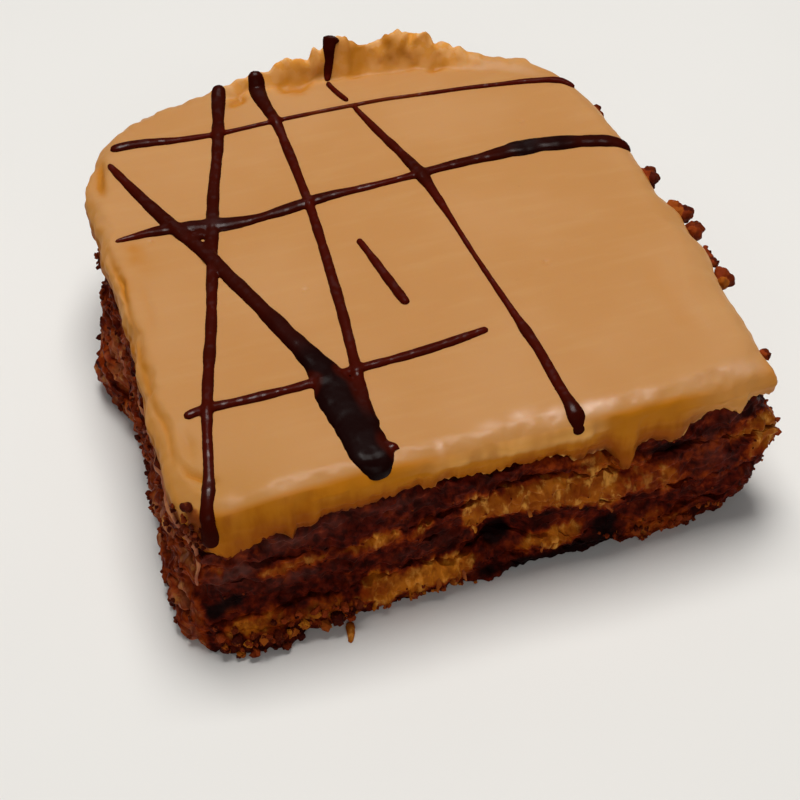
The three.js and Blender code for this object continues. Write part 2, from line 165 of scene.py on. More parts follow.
# Where the front rim catches the light: x, y, reach along x, strength. All reach as far along y.
RIM_LIGHTS = (
    (0.8, -39.9, 1.8, 0.5), (6, -39.2, 1.7, 1), (10.8, -40.3, 1.6, 0.7), (17, -40.8, 2.6, 0.9),
    (-7.4, -41.3, 0.7, 0.6), (24, -40.8, 2.5, 0.3), (-30, -41.2, 3, 0.35), (-38, -41, 1.6, 0.3),
    (40, -40.2, 3, 0.4), (33, -40.6, 3, 0.3),
)
RIM_LIGHT_DEPTH = 1.1
# Biscuit crumb rubbed over the icing's side: x, y, z, spread across, spread in height, strength.
ICING_CRUMBED = (
    (-44.2, -42.4, 25, 2.2, 4, 1.3), (-44.5, -39.6, 29.4, 1.1, 1.6, 1.4), (-45.6, -43, 21, 2.6, 3, 1.2),
    (-46, -36, 23, 4, 3.4, 0.8), (-46, -24, 22.4, 7, 3, 0.8), (-46, -6, 23, 8, 3, 0.8),
    (-46, 12, 22.5, 7, 3, 0.7), (-46, 28, 22, 7, 2.4, 0.5),
)

# Mesh of the icing: faces along each side of its sheet, and bands of faces down its edge.
ICING_GRID = 248
ICING_BANDS = 22
# Steps round the slice at which the solid's lower edge is read.
FOOT_STEPS = 108
# The ridge's streaks run to the back and right.
FINGER_TURN = np.array(((0.8, 0.6, 0), (-0.6, 0.8, 0), (0, 0, 1)))

# Drizzle: points x, y and width of each stroke, and how far it runs down the side.
DRIZZLE = (
    (((-40.8, 41.2, 1.4), (-37.5, 41.7, 2.1), (-33, 41.2, 1.9), (-29, 40.3, 1.2), (-21, 39.7, 0.7),
      (-10, 40.3, 0.55), (9, 40.8, 0.5), (24, 39.8, 0.6), (36, 38, 1), (40, 36.4, 1.2), (43, 33.4, 1.1)), 0),
    (((-44.6, 17.4, 0.3), (-41, 17.9, 1), (-36, 18.2, 1.9), (-32, 17.6, 2.6), (-28, 16.8, 3.2),
      (-23, 16, 2.5), (-17, 16.4, 1.9), (-12, 17.2, 2.3), (-8, 17.8, 1.9), (-3, 17.6, 1.3),
      (4, 17.8, 1.1), (9, 18.2, 1.7), (16, 18.8, 1.6), (22, 19.1, 2.3), (27, 19.8, 3.9),
      (31, 19.6, 3.7), (37, 18.7, 3.3), (42, 17.6, 2.6), (45.2, 15.6, 2.4)), 1.2),
    (((-42, -25.4, 0.9), (-39.6, -24.3, 1.5), (-32, -24.4, 1.5), (-24, -24, 1.3), (-14, -22.6, 1.4),
      (-6, -22.1, 1.5), (1, -21.3, 1.5), (8, -20.3, 0.9)), 0),
    (((-18.1, 52.8, 1.7), (-19.4, 48.4, 2.2), (-20.6, 43, 2), (-22.6, 35, 1.8), (-25.4, 26, 1.7),
      (-28.4, 14, 1.9), (-30.6, 4, 1.6), (-33.4, -8, 1.5), (-36.4, -19, 1.6), (-38.6, -28, 1.4),
      (-40, -35, 1.5), (-41, -39, 1.7), (-42.2, -42.2, 2.4)), 5),
    (((-11.5, 52.9, 2), (-12.1, 49, 2.8), (-11.7, 45, 2.3), (-10.9, 40, 1.5), (-10.9, 28, 1.4),
      (-11.2, 16, 1.4), (-12, 4, 1.4), (-13.2, -11, 1.4), (-14.4, -22, 1.4), (-15.2, -29, 1.8),
      (-16.2, -33, 3.4), (-16.2, -36.5, 3.8)), 0),
    (((3.5, 53.3, 3.6), (2.5, 52.2, 2.6), (1.3, 50.4, 1.4), (0.5, 48.4, 0.3)), 0),
    (((0.4, 48.8, 0.6), (1.5, 45, 0.8), (2.9, 41.6, 0.6)), 0),
    (((3, 41, 0.4), (4, 37.4, 0.9), (5, 33, 1.2), (7.4, 24, 1.6), (8.6, 18.4, 2.2), (9.5, 9, 1),
      (10.5, -3, 0.6), (11.7, -14, 0.8), (12.5, -22, 1.4), (13, -27, 1.6), (13.1, -36, 1.3),
      (13.4, -40, 1.7), (13.5, -42.4, 2.7)), 3.4),
    (((-41.3, 38.3, 0.5), (-39.6, 33, 1.5), (-36.6, 25, 2), (-34, 18.6, 2.6), (-31.2, 12.6, 2.3),
      (-28.4, 4.6, 2.2), (-25.4, -4, 2.4), (-22.4, -13, 2.9), (-19.7, -20, 4), (-18.6, -26, 5.6),
      (-18, -32, 6.6), (-17.4, -38, 7.2), (-16.8, -42.4, 4)), 2.2),
    (((-6.2, 6.2, 0.7), (-5.2, 1, 1.2), (-4, -6, 1.4), (-2.8, -12.2, 1.5)), 0),
    (((-15.6, -38.6, 2.2), (-12.6, -40.4, 0.7)), 0),
    (((-32.6, 14.6, 1.6), (-28.6, 15.4, 2.2)), 0),
)
DRIZZLE_STEP = 0.7
DRIZZLE_SIDES = 14
DRIZZLE_VOXEL = 0.24
MELT_LOSS = 0.35
DRIP_STAND = 0.8
DRIP_SHOULDER = 0.7
STROKE_RISE = {"least": 0.4, "for_width": 0.16, "most": 0.95}
CROSSING = {"rise": 0.35, "reach": 1.3}
# Widths at which a stroke looks thin and thick.
STROKE_LOOKS = (0.7, 5.2)
# Where the strokes are wettest: x, y, reach, strength.
WET_PLACES = tuple((x, y, reach, 0.3) for x, y, reach in (
    (-16.4, -43.4, 1.4), (-40.6, -35, 3.4), (-27, 16.8, 2.6), (28, 19.8, 3.0), (-12.1, 48.4, 1.6),
))

# Crumbs that cling to the icing: how many lumps are fused into each, and how finely.
CLUMP_LUMPS = 14
CLUMP_VOXEL = 0.18
# Where they cling: x, y, z, radius, length along the side as a share of the radius, and how
# much caramel is on it.
EDGE_CRUMBS = (
    (44.7, 29.6, 27.6, 1.4, 1, 0.6), (46.3, 9.8, 27.6, 2, 1.1, 0.6), (47.9, -0.8, 28, 1.9, 1.3, 0.5),
    (48.9, -5, 27.2, 1.6, 1.1, 0.3), (48.6, -12.2, 27.4, 0.8, 4.8, 0.3),
    (48.6, -17.2, 26.8, 1.8, 1.1, 0.4), (46.5, -36.2, 28.2, 0.8, 1, 0.4),
    (-44.5, -39.8, 28.6, 0.9, 1, 0),
)

# Sides of the layers: how finely they are cut up, and how rough they are.
SIDE_CUTS = 10
SIDE_STEEPNESS = 0.75
SIDE_BEGINS = (0.91, 0.95)
LOOSE_FOOT = 6
TEAR_SEED = 40
LAYER_OVERLAP = 0.4
KNIFE_SLANT = 0.3
BISCUIT_SIDE = {"crag": 0.7, "grain": 0.45, "fine": 0.12, "drag": 0.3, "tear": 0.75}
CREAM_SIDE = {"crag": 0.6, "grain": 0.15, "fine": 0.03, "drag": 0.4, "tear": 0.75}
# Where the front and the left side begin, and the front ends at the left corner.
FRONT_BEGINS = (30, 34)
LEFT_BEGINS = (40, 44)
CORNER_ENDS = (43.4, 45.4)

# The marks on the front are given on a plane before it, and lie on the crags behind it along this
# direction: how far they move along x and down for each millimetre further back.
FRONT_PLANE = -43.5
MARK_SHIFT = (0.293, 1.078)

# Where cream shows at the front: x, lowest and highest place, and how much of it covers the biscuit.
CREAM_SHOWN = (
    (
        (-46, 14, 14.5, 0), (-37.5, 14.4, 15.4, 0.1), (-35, 14, 16, 0.75), (-31, 14, 16.2, 0.8),
        (-26, 14.3, 16, 0.7), (-24.5, 14.4, 15.4, 0.3), (-22.5, 14.2, 15.8, 0.75),
        (-18, 14.4, 17.2, 0.95), (-15, 14.4, 17.4, 0.9), (-13.6, 15, 16.4, 0.3),
        (-12.4, 13.4, 14.8, 0.8), (-10.8, 14.4, 16.8, 0.85), (-9.2, 16.4, 18.4, 0.8),
        (-8.2, 17.4, 18, 0.1), (-4.8, 16, 18.5, 0.2), (-4, 14.4, 19.6, 0.9), (-2.6, 13, 20.3, 1),
        (-1, 14.6, 20, 1), (2, 15, 20.3, 1), (4.5, 15, 20.8, 1), (6, 13.4, 20.6, 1),
        (10, 13.8, 20.2, 1), (12, 13.4, 19.8, 1), (15, 11.6, 20.4, 1), (16, 12.6, 21, 0.95),
        (18, 10.8, 21, 0.9), (19.6, 9.6, 19, 0.85), (21.2, 10.8, 17.6, 0.7), (23, 12, 18.4, 0.5),
        (26, 11.4, 18.5, 0.4), (29, 11, 16.4, 0.6), (31.5, 11, 15, 0.5), (33, 11.5, 15, 0.2),
        (36, 11, 12.5, 0.3), (40, 11, 12, 0.15), (42, 14, 17, 0.5), (44, 14.5, 20, 0.85),
        (47, 15.5, 22, 0.9),
    ),
    (
        (-46, 1, 3, 0), (-42, 1, 4, 0.4), (-40, 2, 5.6, 0.7), (-37.6, 1.5, 5.8, 0.7),
        (-35, 1, 6.5, 0.6), (-31, 1, 5, 0.45), (-27, 0, 5.6, 0.4), (-24, 0, 5, 0.6),
        (-22.4, -1, 3.4, 0.6), (-20.4, 3.4, 6, 0.5), (-19, 1.2, 9, 0.9), (-16, 0, 8, 0.9),
        (-14.2, 1.8, 7, 0.85), (-11, 0.4, 7.6, 0.85), (-9, 2, 8.6, 0.9), (-6, 1.6, 8, 0.95),
        (-4.4, 2.4, 7.8, 1), (-3, 3.6, 7.6, 1), (-1.6, 5.4, 6.6, 0.5), (-0.5, 5, 5.5, 0),
        (4, 4.5, 6, 0), (5.6, 4.6, 7.6, 0.8), (8, 4.6, 8.4, 0.95), (11, 3.6, 8.6, 1), (14, 5, 8.6, 0.9),
        (15.6, 5.6, 7.4, 0.3), (17, 5, 6, 0), (21, 2, 4, 0), (23, 1, 4.4, 0.35), (26, 1, 6.6, 0.5),
        (28, 0.5, 7, 0.5), (30, 0, 5, 0.45), (33, 1, 5, 0.3), (36, 2, 4, 0.1), (46, 2, 4, 0),
    ),
    (
        (-46, 15, 21, 0.25), (-41, 17, 21, 0.3), (-36, 19, 21.5, 0.25), (-33, 20, 22, 0),
        (4, 21.5, 25, 0), (7, 22, 25, 0.25), (12, 21.5, 25, 0.45), (17, 20, 24.5, 0.5),
        (20, 18, 22, 0.5), (24, 16.5, 20.5, 0.4), (28, 15.5, 18.5, 0.3), (33, 16, 20, 0.2),
        (38, 18, 22, 0.3), (41, 19, 23, 0.65), (46, 18, 24, 0.7),
    ),
)
SHOWN_EDGE = 1.4
# Nearly black places at the front, mostly painted shade in holes, under the icing and along the foot,
# partly dark spots of the biscuit; and places with a painted greyish sheen: x, z, spread along and up,
# strength.
DARK_AND_SHADED_PLACES = (
    (1, 10.6, 2.3, 3.2, 1.3), (19, 6.6, 2.8, 2.6, 1), (-43.5, 8.6, 2.2, 2.4, 1),
    (-39.8, 10.4, 1.8, 2, 0.9), (-35.5, 10.4, 2, 1.4, 0.4), (28.5, 20.8, 5, 1.4, 0.9),
    (37, 23.5, 3, 3, 0.5), (41.6, 25, 1.2, 2.6, 0.7), (9.3, 12.2, 1.2, 0.9, 0.7),
    (12.6, 12.6, 1, 0.9, 0.7), (16, 11, 0.9, 1.6, 0.7), (3.4, 23.2, 1.4, 1, 0.5),
    (33.5, 15.2, 1.5, 2, 0.4), (-29, 4, 2.2, 2.2, 0.5), (-33.6, 4, 1, 1.2, 0.5), (24, 9.5, 3, 1.5, 0.4),
    (-21.6, 1.6, 1.2, 1.6, 0.7), (-0.6, 2, 2.2, 2, 0.7), (6, 1.6, 4.5, 1.8, 0.9),
    (14.5, 2.2, 4.5, 2.2, 0.9), (20.5, 2.6, 2.6, 2, 0.6), (-16, 22, 6, 2, 0.25), (30, 8.6, 4, 1.6, 0.4),
)
SHEEN_PLACES = (
    (-40, 16.8, 4, 2.4, 0.8), (-43, 21.5, 3, 2.5, 0.5), (-37, 20, 1.8, 1.2, 0.5),
    (-31, 20.6, 4, 1.6, 0.5), (-15, 23, 4, 1.2, 0.35), (-30, 12.5, 5, 1.5, 0.35), (-24, 22, 2, 2, 0.3),
    (36, 18.5, 2.5, 3, 0.4), (38, 24, 1.6, 1.6, 0.3), (-12, 11, 2, 1.5, 0.3), (-6, 12.6, 2, 1, 0.3),
)
# Where the cream at the front is painted lighter, as if better lit, in the same way.
PAINTED_LIGHT_PLACES = (
    (-14.5, 2.5, 4, 1.8, 0.35), (-8, 5, 4, 2.5, 0.7), (9, 6.5, 4, 2, 0.4), (-17, 16.5, 2.5, 1.5, 0.4),
    (-36, 4, 5, 2.5, 0.8),
)
# Torn tips that hang from the cream at the front: x, z.
TORN_TIPS = (
    (-15.9, 0.6), (-10.9, 0.6), (-5.4, 1.4), (-4.2, 3.2), (-12.8, 1.6), (-8, 2), (-18.2, 1.4),
    (-3.4, 14.6), (-2.5, 13.4), (15, 12), (19.5, 10.2), (6.2, 13.9), (11, 4.2), (8.6, 4.9),
)
# The tips' least and greatest size, slant in degrees and paleness.
TIP_LOOK = (0.6, 1.1, 84, 0.0)
# Cream dragged over the other sides by the knife: plan ends of the stretch, lowest and highest place, how
# many smears, their least and greatest size, their slant in degrees and how pale they are.
SMEARED = (
    ((49, -38), (49, 34), 4, 21, 18, 0.8, 1.8, -8, 0.1),
    ((-36, 56), (36, 56), 4, 20, 18, 0.8, 1.8, 8, 0.1),
)
SMEAR_VOXEL = 0.3
# Loose crumbs: plan ends of the stretch, lowest and highest place, how many, least and greatest size,
# least and greatest shade.
CRUMBED = (
    ((-46, -46), (46, -46), 3, 24, 60, 0.15, 0.45, 0.0, 0.5),
    ((-44, -48), (-22, -48), 0.3, 6.5, 200, 0.3, 1.3, 0.0, 0.9),
    ((-22, -47), (-3, -46), 0.2, 2.0, 60, 0.2, 0.8, 0.1, 0.85),
    ((20, -46), (40, -46), 0.2, 5, 110, 0.25, 0.9, 0.0, 0.75),
    ((-49, -43), (-49, 42), 0.3, 20, 150, 0.3, 0.9, 0.0, 0.6),
    ((-47.5, -43.5), (-44, -43.8), 20, 27, 26, 0.3, 1.2, 0.0, 0.5),
    ((-48, -43), (-48, -37), 20, 27, 22, 0.3, 1.1, 0.0, 0.5),
    ((-48, -34), (-48, 22), 18, 23, 60, 0.3, 0.9, 0.1, 0.6),
    ((49, -43), (49, 36), 0.3, 24, 300, 0.2, 0.9, 0.0, 0.8),
    ((-38, 57), (38, 57), 0.3, 22, 300, 0.2, 0.9, 0.0, 0.8),
)
# A bead of cream along the icing's lower left edge and down the front corner: x, y, z, width.
SIDE_BEAD = (
    (-47.2, 1, 17, 0.5), (-46.4, -12, 22, 0.8), (-46.3, -20, 22.6, 0.9), (-46.2, -28, 23, 0.9),
    (-46.3, -34, 23.6, 0.9), (-46.5, -40.4, 23.2, 0.9), (-46.7, -43, 19.5, 0.9),
    (-46.4, -43.6, 15.5, 0.85), (-45.6, -43.8, 11.5, 0.6),
)
BEAD_STAND = 0.15
RUN_STEP = 0.4
# Thin sauce that ran out at the front: x, y, z, width.
SAUCE_RUN = (
    (-23, -44.6, 0.5, 1.6), (-23.2, -46.4, 0.2, 1.9), (-23.7, -48.2, 0.12, 1.4),
    (-24.2, -49.6, 0.1, 0.7),
)


def select_only(*pieces):
    bpy.ops.object.select_all(action="DESELECT")
    for piece in pieces:
        piece.select_set(True)
    bpy.context.view_layer.objects.active = pieces[0]


def joined(pieces, name):
    select_only(*pieces)
    bpy.ops.object.join()
    pieces[0].name = name
    return pieces[0]


def melt(piece, voxel, rounds):
    """Fuses the lumps of a piece into one soft skin."""
    select_only(piece)
    skin = piece.modifiers.new("skin", "REMESH")
    skin.mode = "VOXEL"
    skin.voxel_size = voxel * MM
    bpy.ops.object.modifier_apply(modifier=skin.name)
    soft = piece.modifiers.new("soft", "SMOOTH")
    soft.factor = 0.5
    soft.iterations = rounds
    bpy.ops.object.modifier_apply(modifier=soft.name)
    bpy.ops.object.shade_smooth()


def vectors(piece, kind):
    """Rows of the vectors at a piece's vertices: co or normal."""
    flat = np.empty(len(piece.data.vertices) * 3)
    piece.data.vertices.foreach_get(kind, flat)
    return flat.reshape(-1, 3)


def places(piece):
    """Vertices of a piece in millimetres, about the middle of its plan."""
    return vectors(piece, "co") / MM - (*PLAN_CENTRE, 0)


def put(piece, points):
    """Moves the vertices of a piece to places in millimetres, about the middle of its plan."""
    flat = (np.asarray(points) + (*PLAN_CENTRE, 0)) * MM
    piece.data.vertices.foreach_set("co", flat.ravel())
    piece.data.update()


def normals(piece):
    return vectors(piece, "normal")


def bell(value, centre, spread):
    return np.exp(-(((value - centre) / spread) ** 2))


def smoothstep(value, low, high):
    share = np.clip((value - low) / (high - low), 0, 1)
    return share * share * (3 - 2 * share)


def relief(points, size, seed, octaves=3):
    """Random relief, about -1 to 1, at places in millimetres, in lumps of the given size."""
    shift = Vector((17.3, 9.1, 5.7)) * seed
    spots = np.asarray(points) / size
    return np.array([noise.fractal(Vector(spot) + shift, 1.0, 2.0, octaves) for spot in spots])


def round_spots(x, y, marks):
    """Sum of soft round spots: the place, reach and strength of each."""
    return sum(strength * bell(np.hypot(x - i, y - j), 0, reach) for i, j, reach, strength in marks)


def oval_spots(x, y, marks):
    """Sum of soft oval spots: the place, reach along x and y, and strength of each."""
    return sum(strength * bell(x, i, wide) * bell(y, j, tall) for i, j, wide, tall, strength in marks)


def lengths(way):
    """Distance along a way to each of its places."""
    return np.concatenate([[0], np.cumsum(np.linalg.norm(np.diff(way, axis=0), axis=1))])


def outline_radius(angle):
    """Distance from the centre of the plan to the outline."""
    back = np.sin(angle) > 0
    reach = np.where(back, BACK_REACH, FRONT_REACH)
    back_power = np.where(np.cos(angle) < 0, BACK_SQUARENESS["left"], BACK_SQUARENESS["right"])
    power = np.where(back, back_power, FRONT_SQUARENESS)
    across = np.abs(np.cos(angle)) / HALF_WIDTH
    along = np.abs(np.sin(angle)) / reach
    bumps = sum(out * bell(angle, at, spread) for at, spread, out in OUTLINE_BUMPS)
    return (across**power + along**power) ** (-1 / power) + bumps


def outline_point(angle):
    return outline_radius(angle)[:, None] * np.stack([np.cos(angle), np.sin(angle)], -1)


def crest_height(x):
    """Height of the ridge's crest at a place along x, smooth from one peak or dip to the next."""
    along, heights = np.array(RIDGE_CREST).T
    after = np.clip(np.searchsorted(along, x, side="right"), 1, len(along) - 1)
    share = smoothstep(x, along[after - 1], along[after])
    return heights[after - 1] + share * (heights[after] - heights[after - 1])


def ridge_height(x, y, share):
    left_foot, right_foot = RIDGE_ACROSS["left_foot"], RIDGE_ACROSS["foot"]
    foot = left_foot + (right_foot - left_foot) * smoothstep(x, -2, 10)
    climb = smoothstep(share, foot, RIDGE_ACROSS["crest"])
    fall = 1 - RIDGE_ACROSS["back_drop"] * smoothstep(share, RIDGE_ACROSS["crest"], 1)
    return np.where(y > 0, crest_height(x) * climb * fall, 0)


def crease_depths(x, y):
    """Depth of each crease at places on the plan."""
    found = []
    for corners, wide in ICING_CREASES:
        depth = np.zeros(np.shape(x))
        for (i, j, shallow), (next_i, next_j, deep) in zip(corners[:-1], corners[1:]):
            run, rise = next_i - i, next_j - j
            along = np.clip(((x - i) * run + (y - j) * rise) / (run**2 + rise**2), 0, 1)
            away = np.hypot(x - i - along * run, y - j - along * rise)
            here = (shallow + along * (deep - shallow)) * bell(away, 0, wide)
            depth = np.where(np.abs(here) > np.abs(depth), here, depth)
        found.append(depth)
    return np.array(found)


def edge_drop(x, y, inset):
    """How far the icing's rounded edge has dropped, at a distance in from the outline."""
    front = smoothstep(-y, 0.7 * FRONT_REACH, 0.95 * FRONT_REACH)
    right = smoothstep(x, 0.4 * HALF_WIDTH, 0.9 * HALF_WIDTH) * (1 - front)
    worn = front * bell(x, WORN_EDGE["x"], WORN_EDGE["spread"])
    reach = EDGE_ROUND["inset"] + (FRONT_EDGE["inset"] - EDGE_ROUND["inset"]) * front
    reach = reach + RIGHT_EDGE["wider"] * right * bell(y, RIGHT_EDGE["y"], RIGHT_EDGE["spread"])
    reach = reach + WORN_EDGE["wider"] * worn
    drop = EDGE_ROUND["drop"] + (FRONT_EDGE["drop"] - EDGE_ROUND["drop"]) * front
    drop = drop + WORN_EDGE["lower"] * worn
    return drop * (1 - np.sqrt(1 - (1 - np.minimum(inset, reach) / reach) ** 2))


def icing_top(x, y):
    """Height of the icing's top at a place on the plan."""
    radius = outline_radius(np.arctan2(y, x))
    share = np.minimum(np.hypot(x, y) / radius, 1)
    wave = sum(height * np.sin(i * x + j * y + phase) for height, i, j, phase in ICING_WAVES)
    dents = round_spots(x, y, (CORNER_SAG, *ICING_PITS)) + crease_depths(x, y).sum(0)
    return ICING_TOP + wave - edge_drop(x, y, (1 - share) * radius) - dents + ridge_height(x, y, share)


class Number:
    """A value that changes over a surface. Arithmetic on it adds Math nodes to its finish."""

    def __init__(self, finish, socket):
        self.finish = finish
        self.socket = socket

    def maths(self, operation, first, second):
        return self.finish.node("Math", {"operation": operation}, {0: first, 1: second})

    def __add__(self, other):
        return self.maths("ADD", self, other)

    def __sub__(self, other):
        return self.maths("SUBTRACT", self, other)

    def __rsub__(self, other):
        return self.maths("SUBTRACT", other, self)

    def __mul__(self, other):
        return self.maths("MULTIPLY", self, other)

    __radd__ = __add__
    __rmul__ = __mul__

    def over(self, low, high):
        """0 below low, 1 above high, smooth between."""
        settings = {"interpolation_type": "SMOOTHSTEP"}
        return self.finish.node("MapRange", settings, {"Value": self, "From Min": low, "From Max": high})


class Finish:
    """A material in the making, on places in millimetres."""

    def __init__(self, name, **constants):
        self.material = bpy.data.materials.new(name)
        self.material.use_nodes = True
        self.tree = self.material.node_tree
        self.shader = self.tree.nodes["Principled BSDF"]
        for socket, value in constants.items():
            self.shader.inputs[socket.replace("_", " ")].default_value = value
        coordinates = self.node("TexCoord", {}, {}, "Object")
        self.place = self.node("VectorMath", {"operation": "SCALE"}, {0: coordinates, "Scale": 1 / MM})

    def node(self, kind, settings, inputs, output=0):
        made = self.tree.nodes.new("ShaderNode" + kind)
        for name, value in settings.items():
            setattr(made, name, value)
        for name, value in inputs.items():
            self.feed(made.inputs[name], value)
        return Number(self, made.outputs[output])

    def feed(self, socket, value):
        if isinstance(value, Number):
            self.tree.links.new(value.socket, socket)
        else:
            socket.default_value = value

    def noise(self, size, detail=3, stretch=(1, 1, 1), rough=0.55):
        """Noise with lumps of a size in millimetres, stretched along the axes."""
        scaled = self.node("VectorMath", {"operation": "DIVIDE"}, {0: self.place, 1: stretch})
        inputs = {"Vector": scaled, "Scale": 1 / size, "Detail": detail, "Roughness": rough}
        return self.node("TexNoise", {}, inputs)

    def attribute(self, name):
        return self.node("Attribute", {"attribute_name": name}, {}, "Fac")

    def mix(self, share, first, second):
        inputs = {0: share, 6: first, 7: second}
        return self.node("Mix", {"data_type": "RGBA"}, inputs, 2)

    def laid(self, base, *coats):
        """A colour with others laid over it in turn, each as far as its share says."""
        base = colour(base) if isinstance(base, str) else base
        for share, code in coats:
            base = self.mix(share, base, colour(code))
        return base

    def bump(self, height, distance, strength):
        inputs = {"Height": height, "Distance": distance * MM, "Strength": strength}
        self.feed(self.shader.inputs["Normal"], self.node("Bump", {}, inputs))

    def wear(self, **linked):
        for socket, value in linked.items():
            self.feed(self.shader.inputs[socket.replace("_", " ")], value)
        return self.material


def colour(code):
    """A hex colour as linear light, with alpha."""
    parts = [int(code[i : i + 2], 16) / 255 for i in (0, 2, 4)]
    return (*(p / 12.92 if p <= 0.04045 else ((p + 0.055) / 1.055) ** 2.4 for p in parts), 1)


def caramel_finish():
    made = Finish(
        "caramel_icing", Subsurface_Weight=0.2, Subsurface_Scale=0.001, Subsurface_Radius=SOFT_RADIUS,
        Specular_IOR_Level=0.03, Coat_Roughness=0.3,
    )
    streak = made.noise(2.2, 3, (6, 1, 1))
    drip = made.noise(2.4, 3, (1, 1, 4)) - 0.5
    cut = made.attribute("cut")
    low = made.attribute("low")
    ridge = made.attribute("ridge")
    # Painted amber shade in creases, hollows and the ridge's folds.
    warm = made.attribute("warm") + 0.4 * made.attribute("hollow").over(0.05, 0.5)
    crumbed = (made.attribute("crumbed") + 1.3 * (made.noise(3.5, 3) - 0.5)).over(0.3, 0.65)
    # The top's tan is partly painted sheen: the room's light off its glossy skin, painted in paler and bluer
    # than the cut side's caramel.
    top = made.laid(
        "b5804a",
        (made.noise(24, 2).over(0.35, 0.68), "b98653"),
        (streak.over(0.45, 0.8) * 0.25, "c0935f"),
        (made.attribute("corner") * 0.7, "b07a3a"),
    )
    side = made.laid(
        "bb7212",
        ((low + 0.9 * drip).over(0.15, 0.85), "944a02"),
        ((low + 0.5 * drip).over(0.8, 1.05) * 0.7, "602402"),
    )
    # Laid over: the ridge painted lighter as if its shaded slope were lit, with blotches of painted amber
    # shade among its folds; a warmer painted shade on faces tilted away; painted highlights on the rim.
    base = made.laid(
        made.mix(cut, top, side),
        (ridge * 0.8, "e2aa6c"),
        (ridge * made.noise(2.0, 3).over(0.48, 0.56) * 0.8, "d08828"),
        (made.attribute("tilt") * (1 - cut) * 0.75, "d28c38"),
        (warm.over(0.0, 0.9) * 0.8, "b06c10"),
        (made.attribute("tan") * 0.8, "e8aa58"),
        (made.attribute("shine") * 0.7, "dcb498"),
        (crumbed * 0.85, "6e2a12"),
    )
    made.bump(streak * 0.7 + made.noise(0.5, 2) * 0.3, 0.12, 0.5)
    coat = made.attribute("gloss") * (1 - 0.9 * cut) * (1 - crumbed)
    return made.wear(Base_Color=base, Roughness=0.4 + 0.2 * streak, Coat_Weight=coat)


def drizzle_finish():
    made = Finish("dark_chocolate", Specular_IOR_Level=0.01, Coat_Roughness=0.22)
    lumps = made.noise(1.6, 2)
    thick = made.attribute("thickness")
    base = made.laid("460c03", (thick.over(0.1, 0.4), "300701"), (thick.over(0.4, 0.8), "140302"))
    base = made.mix(thick.over(0.0, 0.06), colour("6e2c0e"), base)
    made.bump(lumps, 0.3, 0.7)
    return made.wear(Base_Color=base, Roughness=0.4 + 0.2 * lumps, Coat_Weight=made.attribute("gloss"))


def cake_finish(name, soft):
    """Soaked biscuit with cream over it, as far as the cream attribute says."""
    made = Finish(
        name, Subsurface_Weight=soft, Subsurface_Scale=0.0008, Subsurface_Radius=SOFT_RADIUS,
        Specular_IOR_Level=0.03,
    )
    patch = made.noise(3.4, 4)
    grain = made.noise(1.4, 4, rough=0.6)
    broad = made.noise(7, 3)
    fleck = made.noise(1.9, 3, (0.8, 0.8, 1.7))
    hollow = made.attribute("hollow")
    # Biscuit: its own grain and tone, painted shade darkening its hollows, and a painted greyish sheen.
    biscuit = made.laid(
        "2c0602",
        (grain.over(0.36, 0.62), "561406"),
        (grain.over(0.57, 0.78) * broad.over(0.35, 0.6), "802c0e"),
        ((1 - broad.over(0.3, 0.5)) * 0.6, "200401"),
        (made.attribute("sheen") * patch.over(0.3, 0.6), "6b4038"),
        (hollow.over(0.15, 0.9) * 0.7, "160301"),
    )
    # Cream: its own tone, pale flecks that are partly painted highlights, painted light where the bright
    # mark says, and painted shade darkening its hollows.
    cream = made.laid(
        "803606",
        (patch.over(0.3, 0.7), "ac5e12"),
        (fleck.over(0.51, 0.69) * 0.8, "dc9a42"),
        (made.attribute("bright") * (0.3 + 0.7 * fleck.over(0.4, 0.6)), "ea8e24"),
        (made.attribute("pale"), "b0705a"),
        (hollow.over(0.08, 0.7) * 0.75, "5a1e02"),
    )
    stain = made.laid("5c1402", (grain.over(0.35, 0.65), "8e3406"))
    cover = made.attribute("cream") + 0.9 * (patch - 0.5) + 0.5 * (fleck - 0.5)
    base = made.mix(cover.over(0.0, 0.45), biscuit, stain)
    base = made.mix(cover.over(0.3, 1.0), base, cream)
    # Nearly black where the deep mark says: mostly painted shade in holes, under the icing and at the foot,
    # partly dark spots of the biscuit.
    deep = (made.attribute("deep") + 0.5 * (patch - 0.5)).over(0.25, 0.8)
    base = made.laid(base, (deep * 0.94, "0c0101"))
    made.bump(grain, 0.3, 0.5)
    return made.wear(Base_Color=base, Roughness=0.65 - 0.25 * patch.over(0.35, 0.65))


def crumb_finish():
    made = Finish("biscuit_crumb", Specular_IOR_Level=0.04)
    shade = made.attribute("shade")
    grain = made.noise(0.7, 3)
    base = made.laid(
        "380a03",
        (shade.over(0.0, 0.6), "803010"),
        (shade.over(0.55, 1.0), "b06a18"),
        (grain.over(0.5, 0.75) * 0.35, "8e4418"),
    )
    made.bump(grain, 0.2, 0.6)
    return made.wear(Base_Color=base, Roughness=0.45 + 0.4 * grain)


def mark(piece, **marks):
    """Values at a piece's vertices, for its finish to read by their names."""
    for name, values in marks.items():
        made = piece.data.attributes.new(name, "FLOAT", "POINT")
        made.data.foreach_set("value", np.asarray(values, np.float32))


def evened_over(piece, values, rounds):
    """Rows of values at a piece's vertices, evened out with those of their neighbours."""
    pairs = np.empty(len(piece.data.edges) * 2, np.int64)
    piece.data.edges.foreach_get("vertices", pairs)
    a, b = pairs.reshape(-1, 2).T
    count = np.bincount(pairs, minlength=len(values))[:, None]
    for _ in range(rounds):
        summed = np.zeros_like(values)
        np.add.at(summed, a, values[b])
        np.add.at(summed, b, values[a])
        values = (values + summed / count) / 2
    return values


